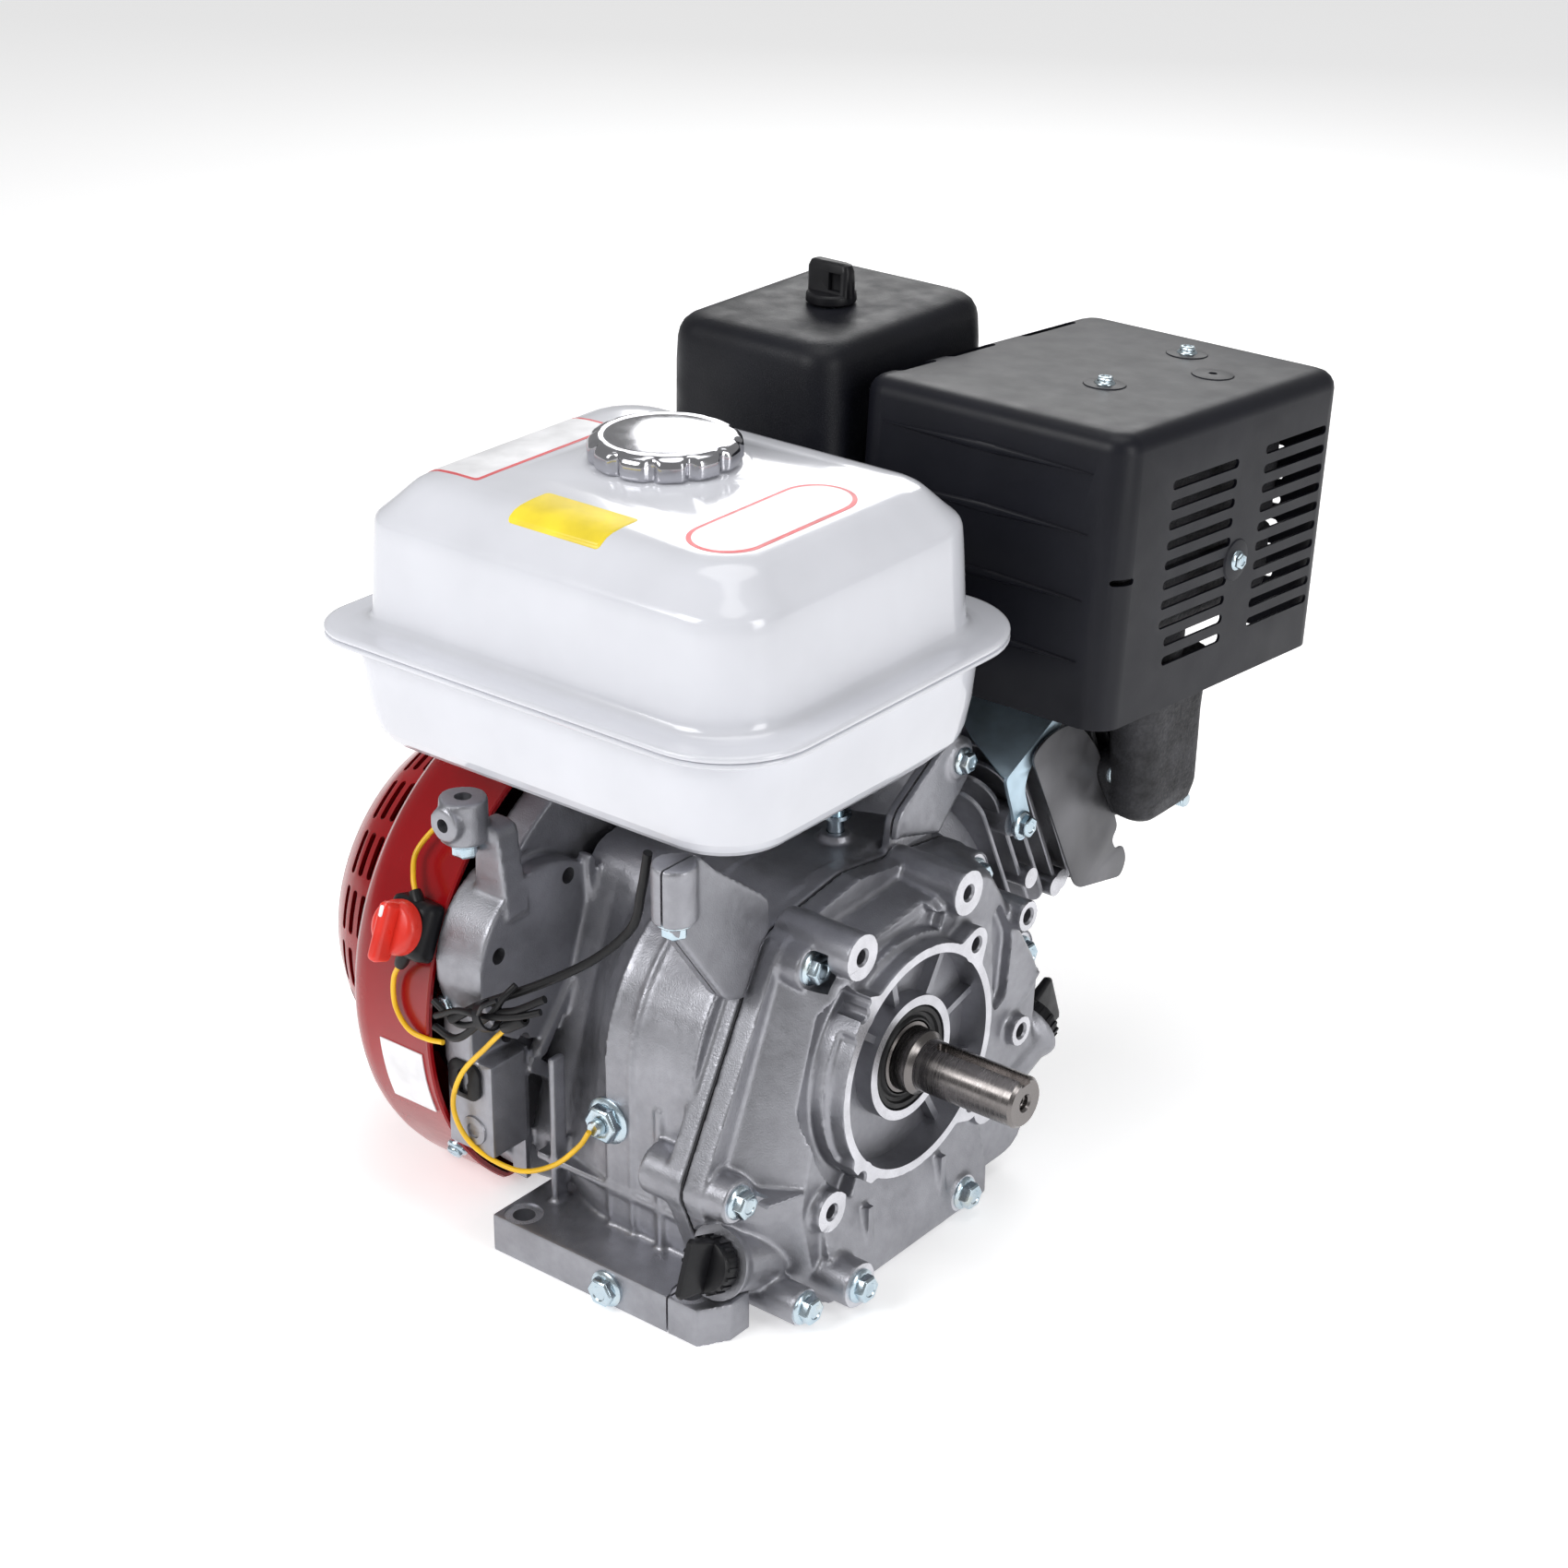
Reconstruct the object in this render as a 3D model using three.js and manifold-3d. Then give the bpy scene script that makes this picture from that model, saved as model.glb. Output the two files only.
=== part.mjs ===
// A small air-cooled gasoline engine: horizontal crankshaft, cylinder tilted above the horizontal,
// fuel tank, air cleaner and muffler on top, recoil starter at one end and a keyed shaft at the other.
// Millimetres, +Z up. +X is the direction the output shaft points, +Y the side of the cylinder head.
// The origin is on the mounting base, under the crankshaft axis, midway along the feet.
import * as THREE from 'three';
import { mergeVertices } from 'three/addons/utils/BufferGeometryUtils.js';
import Module from 'manifold-3d';

const wasm = await Module();
wasm.setup();

// ---- Driving dimensions ----
const GAP = 0.3; // clearance between neighbouring pieces
const CRANK_Z = 106; // height of the crankshaft axis above the base
const BORE_TILT = THREE.MathUtils.degToRad(25); // cylinder axis above the horizontal
const BORE_R = 38.5;
const THROW = 29; // crank radius, half the stroke
const ROD_LENGTH = 100; // distance from crankpin to piston pin that sets the piston's height
const SHAFT_R = 12.7; // output shaft, 1 inch
const SHAFT_END = 154.8;
const JOURNAL_R = 17.5;
const BEARING_R = 36; // outer radius of the ball bearings
const SEAL_R = 26;
const CASE_BACK = -72; // outside of the crankcase's rear wall
const CASE_FRONT = 46; // gasket plane between crankcase and cover
const FLANGE_BACK = -97; // rear face of the flange that carries the fan shroud
const FLANGE_R = 122;
const FLOOR_GAP = 4; // the fan's casings are cut flat this far above the base
const COVER_FACE = 85; // front wall of the crankcase cover
const PILOT_FACE = 94.6; // machined mounting face round the output shaft
const PILOT_R = 58.3;
const PILOT_BORE_R = 53.5;
const PILOT_BOLT = 43.8; // mounting holes are at plus and minus this in Y and Z
const BOLT_HOLE_R = 3.4; // M8 tapped hole
const FOOT_HOLE_R = 5.5;
const FOOT_HOLE_X = 52.5;
const FOOT_HOLES_Y = [-117, 78.5];
const HEAD_PLANE = 163; // distance from the crank axis to the head gasket, along the bore
const HEAD_END = 232;
const VALVE_COVER_END = 254;
const FIN_HALF_X = 64;
const FIN_PITCH = 10;
const FIN_THICKNESS = 2.6;
const GEAR_MODULE = 2;
const TOOTH_TIP = 1.6; // a tooth's point over the pitch circle
const TOOTH_ROOT = 2.4;
const CRANK_TEETH = 22;
const CAM_DISTANCE = (GEAR_MODULE * CRANK_TEETH * 3) / 2; // the camshaft gear has twice the teeth
const CAM_BELOW_BORE = 50; // how far the camshaft lies under the bore's axis
const SHROUD_R = 130;
const SHROUD_BACK = -158;
const RECOIL_BACK = -226;
const TANK_RIM_Z = 300;
const TANK = { x0: -165, x1: 98, y0: -135, y1: 88, corner: 45 };
const FILLER_X = -50;
const FILLER_Y = -10;
const CLEANER = { x0: -145, x1: -38, y0: 94, y1: 235, z0: 262, z1: 400, corner: 18 };
const GUARD = { x0: -32, x1: 122, y0: 100, y1: 298, z0: 246, z1: 389, tilt: 4.5 };
const SWITCH_ANGLE = 157; // place of the switch round the shroud, in degrees from +Y
const SWITCH_X = -111;
const PULL_X = -197; // where the starter rope leaves its housing
const KNOB = { x: -91, y: 165 }; // wing nut of the air cleaner
const LEVER_LENGTH = 25; // choke and fuel valve levers
const SENSOR = { x: -13, z: 79 }; // oil level sensor, on the crankcase's side
const CAM_SHAFT_R = 8;
const FILLER_R = 9; // oil filler holes; their plugs are a little slimmer
const FAN_BLADES = 12;
const FIN_TOP = 46; // top of the cylinder's fins over the bore's axis
const HEAD_TOP = 38;
const VALVE_T = -6; // the valves lie a little under the bore's axis

// ---- Materials ----
const LOOKS = {
  castAluminium: { color: 0x9a9ba2, roughness: 0.45, metalness: 0.85 },
  darkCasting: { color: 0x4a4a4e, roughness: 0.6, metalness: 0.6 },
  machinedSteel: { color: 0x8f8d90, roughness: 0.25, metalness: 1 },
  zincPlate: { color: 0x9db8cc, roughness: 0.3, metalness: 0.9 },
  castIron: { color: 0x3c3c3e, roughness: 0.7, metalness: 0.5 },
  whitePaint: { color: 0xe6e7ee, roughness: 0.18, metalness: 0 },
  redPaint: { color: 0xa00c14, roughness: 0.2, metalness: 0.1 },
  redPlastic: { color: 0xd81e18, roughness: 0.35, metalness: 0 },
  blackPaint: { color: 0x1b1c1f, roughness: 0.5, metalness: 0.2 },
  blackPlastic: { color: 0x17181b, roughness: 0.6, metalness: 0 },
  rubber: { color: 0x121214, roughness: 0.8, metalness: 0 },
  chrome: { color: 0xdadadd, roughness: 0.08, metalness: 1 },
  gasket: { color: 0x35343a, roughness: 0.9, metalness: 0 },
  foam: { color: 0x6b665c, roughness: 1, metalness: 0 },
  yellowWire: { color: 0xe0a500, roughness: 0.45, metalness: 0 },
  rope: { color: 0x2a2a2c, roughness: 0.9, metalness: 0 },
  ceramic: { color: 0xe9e6df, roughness: 0.3, metalness: 0 },
};

// ---- From three.js geometry to solids and back ----
function toSolid(geometry) {
  const bare = geometry.clone();
  bare.deleteAttribute('normal');
  bare.deleteAttribute('uv');
  const merged = mergeVertices(bare, 1e-4);
  return new wasm.Manifold(
    new wasm.Mesh({
      numProp: 3,
      vertProperties: new Float32Array(merged.attributes.position.array),
      triVerts: new Uint32Array(merged.index.array),
    }),
  );
}

function toGeometry(solid) {
  const mesh = solid.getMesh();
  const geometry = new THREE.BufferGeometry();
  geometry.setAttribute('position', new THREE.BufferAttribute(mesh.vertProperties, 3));
  geometry.setIndex(new THREE.BufferAttribute(mesh.triVerts, 1));
  geometry.computeVertexNormals();
  return geometry;
}

const join = (first, ...others) => others.reduce((sum, other) => sum.add(other), first);
const intersect = (first, second) => first.intersect(second);
const cut = (first, ...others) => others.reduce((rest, other) => rest.subtract(other), first);
const moved = (solid, matrix) => toSolid(toGeometry(solid).applyMatrix4(matrix));

// ---- Shapes; an outline is a list of [a, b] in the plane across the axis ----
// Across x the outline is [y, z], across y it is [x, z], across z it is [x, y].
const X = new THREE.Vector3(1, 0, 0);
const Y = new THREE.Vector3(0, 1, 0);
const Z = new THREE.Vector3(0, 0, 1);
const AXIS_FRAMES = {
  x: new THREE.Matrix4().makeBasis(Y, Z, X),
  y: new THREE.Matrix4().makeBasis(X, Z, Y.clone().negate()),
  z: new THREE.Matrix4(),
};

function block(x0, x1, y0, y1, z0, z1) {
  const box = new THREE.BoxGeometry(x1 - x0, y1 - y0, z1 - z0);
  return toSolid(box.translate((x0 + x1) / 2, (y0 + y1) / 2, (z0 + z1) / 2));
}

function plate(axis, outline, from, to) {
  const shape = new THREE.Shape(outline.map(([a, b]) => new THREE.Vector2(a, b)));
  const slab = new THREE.ExtrudeGeometry(shape, { depth: to - from, bevelEnabled: false });
  slab.translate(0, 0, axis === 'y' ? -to : from);
  return toSolid(slab.applyMatrix4(AXIS_FRAMES[axis]));
}

function circle(a, b, radius, sides = 24, startDegrees = 0) {
  const points = [];
  for (let i = 0; i < sides; i++) {
    const angle = THREE.MathUtils.degToRad(startDegrees + (360 * i) / sides);
    points.push([a + radius * Math.cos(angle), b + radius * Math.sin(angle)]);
  }
  return points;
}

const drum = (axis, a, b, radius, from, to, sides = 16) =>
  plate(axis, circle(a, b, radius, sides), from, to);

const ring = (axis, a, b, outer, inner, from, to, sides = 24) =>
  cut(drum(axis, a, b, outer, from, to, sides), drum(axis, a, b, inner, from - 1, to + 1, sides));

// The convex outline round a list of circles [a, b, radius].
function hullOf(circles, sides = 14) {
  const points = circles.flatMap(([a, b, radius]) => circle(a, b, radius, sides));
  points.sort((p, q) => p[0] - q[0] || p[1] - q[1]);
  const turn = (o, p, q) => (p[0] - o[0]) * (q[1] - o[1]) - (p[1] - o[1]) * (q[0] - o[0]);
  const half = (list) => {
    const chain = [];
    for (const point of list) {
      while (chain.length > 1 && turn(chain.at(-2), chain.at(-1), point) < 1e-6) chain.pop();
      chain.push(point);
    }
    return chain.slice(0, -1);
  };
  return [...half(points), ...half(points.reverse())];
}

// Where rays from a centre leave a convex outline: the same number of points for every outline.
function evenly(outline, centre, count = 32) {
  return circle(0, 0, 1, count).map(([dx, dy]) => {
    let reach = 0;
    outline.forEach(([ax, ay], i) => {
      const [bx, by] = outline[(i + 1) % outline.length];
      const cross = dx * (by - ay) - dy * (bx - ax);
      if (Math.abs(cross) < 1e-9) return;
      const along = ((ax - centre[0]) * (by - ay) - (ay - centre[1]) * (bx - ax)) / cross;
      const side = ((ax - centre[0]) * dy - (ay - centre[1]) * dx) / cross;
      if (along > 0 && side >= -1e-9 && side <= 1 + 1e-9) reach = Math.max(reach, along);
    });
    return [centre[0] + dx * reach, centre[1] + dy * reach];
  });
}

function roundedBox(x0, x1, y0, y1, radius, perCorner = 4) {
  const corners = [[x1 - radius, y1 - radius, 0], [x0 + radius, y1 - radius, 90],
    [x0 + radius, y0 + radius, 180], [x1 - radius, y0 + radius, 270]];
  return corners.flatMap(([cx, cy, start]) =>
    Array.from({ length: perCorner }, (_, i) => {
      const angle = THREE.MathUtils.degToRad(start + (90 * i) / (perCorner - 1));
      return [cx + radius * Math.cos(angle), cy + radius * Math.sin(angle)];
    }));
}

// A solid through several outlines with the same number of points; sections are [at, outline].
function loft(axis, sections) {
  const signed = axis === 'y' ? [...sections].reverse().map(([at, o]) => [-at, o]) : sections;
  const count = signed[0][1].length;
  const positions = [];
  const index = [];
  for (const [at, outline] of signed) for (const [a, b] of outline) positions.push(a, b, at);
  for (let k = 0; k + 1 < signed.length; k++) {
    for (let i = 0; i < count; i++) {
      const [p, q] = [k * count + i, k * count + ((i + 1) % count)];
      index.push(p, q, q + count, p, q + count, p + count);
    }
  }
  const first = signed[0][1].map(([a, b]) => new THREE.Vector2(a, b));
  const last = (signed.length - 1) * count;
  const top = signed.at(-1)[1].map(([a, b]) => new THREE.Vector2(a, b));
  for (const [a, b, c] of THREE.ShapeUtils.triangulateShape(first, [])) index.push(a, c, b);
  for (const [a, b, c] of THREE.ShapeUtils.triangulateShape(top, [])) index.push(last + a, last + b,
      last + c);
  const geometry = new THREE.BufferGeometry();
  geometry.setAttribute('position', new THREE.Float32BufferAttribute(positions, 3));
  geometry.setIndex(index);
  return toSolid(geometry.applyMatrix4(AXIS_FRAMES[axis]));
}

// A turned solid about an axis through the local origin; the profile is [along, radius].
function turned(axis, profile, sides = 32) {
  const signed = axis === 'y' ? profile.map(([along, radius]) => [-along, radius]) : profile;
  const area = signed.reduce((sum, [a, b], i) => {
    const [c, d] = signed[(i + 1) % signed.length];
    return sum + a * d - b * c;
  }, 0);
  const ordered = area > 0 ? [...signed].reverse() : signed;
  const points = ordered.map(([along, radius]) => new THREE.Vector2(radius, along));
  const lathe = new THREE.LatheGeometry(points, sides).rotateX(Math.PI / 2);
  return toSolid(lathe.applyMatrix4(AXIS_FRAMES[axis]));
}

function lead(points, radius, steps, sides = 8) {
  const path = new THREE.CatmullRomCurve3(points.map((p) => new THREE.Vector3(...p)));
  const section = new THREE.Shape(circle(0, 0, radius, sides).map(([a, b]) => new THREE.Vector2(a, b)));
  return toSolid(new THREE.ExtrudeGeometry(section, { steps, extrudePath: path }));
}

function gear(teeth, x0, x1, boreR, phase) {
  const pitchR = (GEAR_MODULE * teeth) / 2;
  const outline = [];
  for (let i = 0; i < teeth; i++) {
    const centre = phase + (2 * Math.PI * i) / teeth;
    const step = (2 * Math.PI) / teeth;
    for (const [share, radius] of [[-0.5, pitchR - TOOTH_ROOT], [0, pitchR + TOOTH_TIP]]) {
      outline.push([radius * Math.cos(centre + share * step), radius * Math.sin(centre + share * step)]);
    }
  }
  return cut(plate('x', outline, x0, x1), drum('x', 0, 0, boreR, x0 - 1, x1 + 1, 24));
}

// ---- The scene graph's frames ----
const engine = new THREE.Group();
const crankFrame = new THREE.Group(); // X along the crankshaft
crankFrame.position.set(0, 0, CRANK_Z);
const boreFrame = new THREE.Group(); // Y along the cylinder, out towards the head
boreFrame.position.set(0, 0, CRANK_Z);
boreFrame.rotation.x = BORE_TILT;
boreFrame.updateMatrix();
const inBoreFrame = (solid) => moved(solid, boreFrame.matrix);
const camFrame = new THREE.Group();
const camAlong = Math.sqrt(CAM_DISTANCE ** 2 - CAM_BELOW_BORE ** 2);
const camCentre = new THREE.Vector3(0, camAlong, -CAM_BELOW_BORE).applyMatrix4(boreFrame.matrix);
camFrame.position.copy(camCentre);
const guardFrame = new THREE.Group(); // the muffler and its guard lean a little
guardFrame.position.set(0, GUARD.y0, GUARD.z0);
guardFrame.rotation.x = THREE.MathUtils.degToRad(-GUARD.tilt);
engine.add(crankFrame, boreFrame, camFrame, guardFrame);

function add(group, name, solid, look) {
  const mesh = new THREE.Mesh(toGeometry(solid), new THREE.MeshStandardMaterial(LOOKS[look]));
  mesh.name = name;
  group.add(mesh);
}

// ---- Crankcase, with the barrel and the mounting feet cast in one piece ----
// Places of the cover bolts, [y, z]; the two lowest sit on the sump's front wall.
const COVER_BOLTS = [[-104, 70], [-51, 169], [75, 167], [117, 107]];
const SUMP_BOLTS = [[42, 12], [-84, 12]];
const flangeOutline = hullOf([...COVER_BOLTS.map(([y, z]) => [y, z, 12.5]),
  ...SUMP_BOLTS.map(([y, z]) => [y, z, 9.5]), [0, 176, 14], [100, 26, 16]]);
const caseOutline = hullOf([[-18, CRANK_Z, 80], [-74, 30, 24], [88, 30, 26], [94, 106, 22], [60, 166, 22],
    [-20, 168, 20]]);
const hollowOutline = hullOf([[0, CRANK_Z, 66], [-70, 62, 22], [-60, 44, 20], [86, 46, 21], [92, 106, 17],
    [48, 158, 14]]);
const coverKeepOut = hullOf([...COVER_BOLTS.map(([y, z]) => [y, z, 15]), [-41, 177, 15], [41, 177, 15],
    [104, 30, 18]]);
const REAR_WALL = 12;
const LEFT_FOOT = { inner: -99, top: 20.2 };
const RIGHT_FOOT = { inner: 55, outer: 93, top: 16 };

function feet() {
  const left = plate('z', [[-64, -127], [64, -127], [73, -113], [73, LEFT_FOOT.inner],
    [CASE_FRONT, LEFT_FOOT.inner], [CASE_FRONT, -70], [-64, -70]], 0, LEFT_FOOT.top);
  const right = block(-64, 68, RIGHT_FOOT.inner, RIGHT_FOOT.outer, 0, RIGHT_FOOT.top);
  const floor = block(-64, CASE_FRONT, -74, 58, 0, 20);
  return [left, right, floor];
}

// The parts of the two feet that reach forward under the cover, with clearance round them.
const feetUnderCover = () => join(
  block(CASE_FRONT, 80, -130, LEFT_FOOT.inner + 2 * GAP, -1, LEFT_FOOT.top + GAP),
  block(CASE_FRONT, 80, RIGHT_FOOT.inner - GAP, RIGHT_FOOT.outer + GAP, -1, RIGHT_FOOT.top + GAP),
);

function barrel() {
  const tube = drum('y', 0, 0, 50, 70, HEAD_PLANE - GAP, 20);
  const root = block(-56, 44, 60, 100, -48, 44);
  const bracketBoss = drum('x', 134, 19, 8, 40, FIN_HALF_X + 2, 16);
  const fins = [];
  for (let s = HEAD_PLANE - GAP; s > 110; s -= FIN_PITCH) {
    fins.push(plate('y', roundedBox(-FIN_HALF_X, FIN_HALF_X, -58, FIN_TOP, 10, 2), s - FIN_THICKNESS, s));
  }
  return inBoreFrame(join(tube, root, bracketBoss, ...fins));
}

// Arms and ears that carry the fuel tank.
function tankSupports() {
  const pillar = [[-58, 150], [-88, 160], [-128, 214], [-128, 238], [-96, 238], [-56, 200]];
  const arm = [[36, 176], [60, 170], [98, 206], [100, 224], [84, 232], [40, 204]];
  const earArm = [[-95, 150], [-66, 150], [-72, 212], [-98, 212]];
  return [
    plate('x', pillar, 34, 56),
    plate('x', arm, 40, 50),
    block(-98, -74, -127, -100, 206, 238),
    plate('y', earArm, -118, -96),
  ];
}

const footHoles = () => FOOT_HOLES_Y.flatMap((y) =>
  [-1, 1].map((side) => drum('z', side * FOOT_HOLE_X, y, FOOT_HOLE_R, -1, 22, 12)));

function crankcase() {
  const aboveCover = cut(join(barrel(), ...tankSupports()), plate('x', coverKeepOut, CASE_FRONT, 80));
  const casting = join(
    plate('x', caseOutline, CASE_BACK, CASE_FRONT - 8),
    plate('x', flangeOutline, CASE_FRONT - 11, CASE_FRONT),
    intersect(drum('x', 0, CRANK_Z, FLANGE_R, FLANGE_BACK, -79, 28),
        block(-120, 0, -140, 140, FLOOR_GAP, 300)),
    drum('x', -80, CRANK_Z + 37, 45, FLANGE_BACK, -68, 20),
    drum('z', 20, 30, 8, 170, 192, 12),
    ...feet(),
    aboveCover,
  );
  const hubRecess = intersect(ring('x', 0, CRANK_Z, FLANGE_R - 10, 46, FLANGE_BACK - 1, -84, 20),
    block(-120, 0, -140, 140, FLOOR_GAP + 8, 300));
  return cut(
    casting,
    hubRecess,
    plate('x', hollowOutline, CASE_BACK + REAR_WALL, CASE_FRONT + 1),
    inBoreFrame(drum('y', 0, 0, BORE_R + 4, 40, HEAD_PLANE + 1, 24)),
    drum('x', 0, CRANK_Z, BEARING_R + GAP, -79, -50, 24),
    drum('x', 0, CRANK_Z, SEAL_R + GAP, FLANGE_BACK - 1, -70, 20),
    drum('x', camCentre.y, camCentre.z, CAM_SHAFT_R + GAP, -68, -50, 16),
    drum('x', 66, 204, 4.5, FLANGE_BACK - 1, -70, 12),
    drum('y', 9.5, 9.5, 5 + GAP, -128, -110, 12),
    drum('y', SENSOR.x, SENSOR.z, 6 + GAP, -104, -84, 12),
    drum('z', 20, 30, 4 + GAP, 178, 200, 12),
    ...footHoles(),
  );
}

// ---- Crankcase cover with the output mounting face ----
const COVER_BACK = CASE_FRONT + 0.9; // leaves room for the gasket
const OIL_FILLERS = {
  dipstick: { x: 62, y: -111, z: 37, side: -1 },
  oil_filler_cap: { x: 72, y: 124, z: 62, side: 1 },
};
const LONG_BOSSES = [[-41, 177, 11.5], [41, 177, 11.5], [-62, 52, 10.5], [62, 52, 10.5], [92, 144, 8],
    [90, 81, 8]];

// A frame at an oil filler's mouth, its Z axis pointing out of the engine.
function fillerFrame({ x, y, z, side }) {
  const lean = THREE.MathUtils.degToRad(20);
  const outward = new THREE.Vector3(0, side * Math.cos(lean), Math.sin(lean));
  const turn = new THREE.Quaternion().setFromUnitVectors(Z, outward);
  return new THREE.Matrix4().compose(new THREE.Vector3(x, y, z), turn, new THREE.Vector3(1, 1, 1));
}

const domeCentre = [4, 92];
const domeSection = (circles) => evenly(hullOf(circles), domeCentre, 20);
const domeBase = [[-92, 60, 16], [-50, 160, 18], [66, 162, 20], [104, 104, 18], [94, 28, 20],
    [-70, 26, 20]];
const domeFront = [[-64, 56, 16], [-44, 158, 18], [56, 160, 20], [96, 102, 18], [88, 26, 20],
    [-52, 26, 20]];
const domeInside = [[-56, 60, 14], [-36, 150, 12], [48, 150, 14], [86, 100, 14], [76, 42, 16],
    [-46, 42, 16]];

function crankcaseCover() {
  const lobes = [-1, 1].flatMap((a) => [-1, 1].map((b) =>
    drum('x', a * PILOT_BOLT, CRANK_Z + b * PILOT_BOLT, 9, COVER_FACE - 4, PILOT_FACE, 12)));
  const bolts = COVER_BOLTS.map(([y, z]) => drum('x', y, z, 11, COVER_BACK, 70, 12));
  const sumpFront = plate('y', [[60, 3], [93, 3], [93, 16], [84, 56], [60, 56]], -62, 62);
  const sumpBolts = SUMP_BOLTS.map(([y, z]) => drum('x', y, z, 9, COVER_BACK, 93, 12));
  const bosses = Object.values(OIL_FILLERS).map((place) => moved(drum('z', 0, 0, 15, -34, -GAP, 12),
      fillerFrame(place)));
  const casting = join(
    plate('x', flangeOutline, COVER_BACK, 58),
    loft('x', [[56, domeSection(domeBase)], [COVER_FACE, domeSection(domeFront)]]),
    drum('x', 0, CRANK_Z, PILOT_R, 76, PILOT_FACE, 32),
    ...lobes, ...bolts, sumpFront, ...sumpBolts,
    drum('x', -56, 14, 11.5, 60, 104, 12),
    ...LONG_BOSSES.map(([y, z, radius]) => drum('x', y, z, radius, COVER_BACK, 91, 10)),
    ...bosses.map((boss) => intersect(boss, block(COVER_BACK, 200, -200, 200, 0, 200))),
  );
  const insideBase = evenly(hollowOutline, domeCentre, 20);
  const hollow = cut(
    loft('x', [[COVER_BACK - 1, insideBase], [56, insideBase], [COVER_FACE - 6, domeSection(domeInside)]]),
    drum('x', 0, CRANK_Z, BEARING_R + 6, 60, 90, 20),
    drum('x', camCentre.y, camCentre.z, 14, 64, 90, 12),
  );
  const holes = [-1, 1].flatMap((a) => [-1, 1].map((b) =>
    drum('x', a * PILOT_BOLT, CRANK_Z + b * PILOT_BOLT, BOLT_HOLE_R, PILOT_FACE - 12, PILOT_FACE + 1, 6)));
  return cut(
    casting,
    hollow,
    ring('x', 0, CRANK_Z, PILOT_BORE_R, SEAL_R + 4, 80, PILOT_FACE + 1, 28),
    drum('x', 0, CRANK_Z, SEAL_R + 5, 89.6, PILOT_FACE + 1, 24),
    drum('x', 0, CRANK_Z, BEARING_R + GAP, 50, 79, 24),
    drum('x', 0, CRANK_Z, SEAL_R + GAP, 70, 95, 20),
    drum('x', camCentre.y, camCentre.z, CAM_SHAFT_R + GAP, 50, 76, 12),
    feetUnderCover(),
    ...holes,
    ...LONG_BOSSES.map(([y, z]) => drum('x', y, z, BOLT_HOLE_R, 84, 92, 6)),
    ...Object.values(OIL_FILLERS).map((place) => moved(
      join(drum('z', 0, 0, FILLER_R + GAP, -42, 1, 12), drum('z', 0, 0, 14, -GAP, 30, 12)),
          fillerFrame(place))),
  );
}

const coverGasket = () => cut(
  plate('x', flangeOutline, CASE_FRONT + GAP, COVER_BACK - GAP),
  plate('x', hollowOutline, CASE_FRONT - 1, COVER_BACK + 1),
  feetUnderCover(),
);

function oilCap(length) {
  const tab = block(-2.5, 2.5, -13, 13, 8, 20);
  return join(drum('z', 0, 0, 12.5, 0, 9, 20), tab, drum('z', 0, 0, FILLER_R - 0.6, -length, 1, 12));
}

// ---- Crankshaft, camshaft, bearings and piston ----
const pinDirection = [Math.cos(BORE_TILT), Math.sin(BORE_TILT)];

function crankshaft() {
  const rear = [[-152, 0], [-152, 8], [-140, 8], [-138, 9.5], [-104, 14], [-103, JOURNAL_R],
      [-14, JOURNAL_R], [-14, 0]];
  const front = [[14, 0], [14, JOURNAL_R], [96, JOURNAL_R], [98, SHAFT_R], [SHAFT_END - 1.5, SHAFT_R],
    [SHAFT_END, SHAFT_R - 1.5], [SHAFT_END, 0]];
  const at = (share) => [pinDirection[0] * share, pinDirection[1] * share];
  const web = hullOf([[...at(THROW), 19], [0, 0, 24], [...at(-14), 31]], 16);
  const pin = drum('x', ...at(THROW), 16, -14, 14);
  const keyway = block(104, SHAFT_END + 1, -3.2, 3.2, SHAFT_R - 3.2, SHAFT_R + 1);
  const centreHole = drum('x', 0, 0, 3.6, SHAFT_END - 22, SHAFT_END + 1, 12);
  const body = join(turned('x', rear, 16), turned('x', front, 20), plate('x', web, -27, -13),
      plate('x', web, 13, 27), pin);
  return cut(body, keyway, centreHole);
}

function camshaft(phase) {
  const shaft = drum('x', 0, 0, CAM_SHAFT_R, -67, 75, 12);
  const lobe = (from, degrees) => plate('x', hullOf([[0, 0, 13],
    [9 * Math.cos(degrees), 9 * Math.sin(degrees), 8]]), from, from + 8);
  return join(shaft, gear(2 * CRANK_TEETH, 48, 56, 6, phase), lobe(-38, 0.4), lobe(30, 2.2));
}

const bearing = (from) => ring('x', 0, 0, BEARING_R, JOURNAL_R + GAP, from, from + 17, 24);
const oilSeal = (from) => ring('x', 0, 0, SEAL_R, JOURNAL_R + 2 * GAP, from, from + 9, 20);

function piston() {
  const pinS = ROD_LENGTH + THROW;
  const crown = pinS + 32;
  const skirt = pinS - 20;
  const radius = BORE_R - 0.25;
  const body = turned('y', [[skirt, 33], [skirt, radius], [crown, radius], [crown, 0],
    [crown - 8, 0], [crown - 8, 33], [skirt, 33]], 24);
  const bosses = [-1,
      1].map((side) => drum('x', pinS, 0, 14, Math.min(side * 14, side * 35),
      Math.max(side * 14, side * 35), 20));
  return cut(join(body, ...bosses), drum('x', pinS, 0, 9 + GAP, -50, 50, 20));
}

// ---- Cylinder head group, in the bore's frame: x, s along the bore, t across it ----
const PORT = { s: 214, t: -27 }; // exhaust port, on the side of the output shaft
const INTAKE = { y: 195, z: 219 }; // carburettor axis, on the other side

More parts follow.
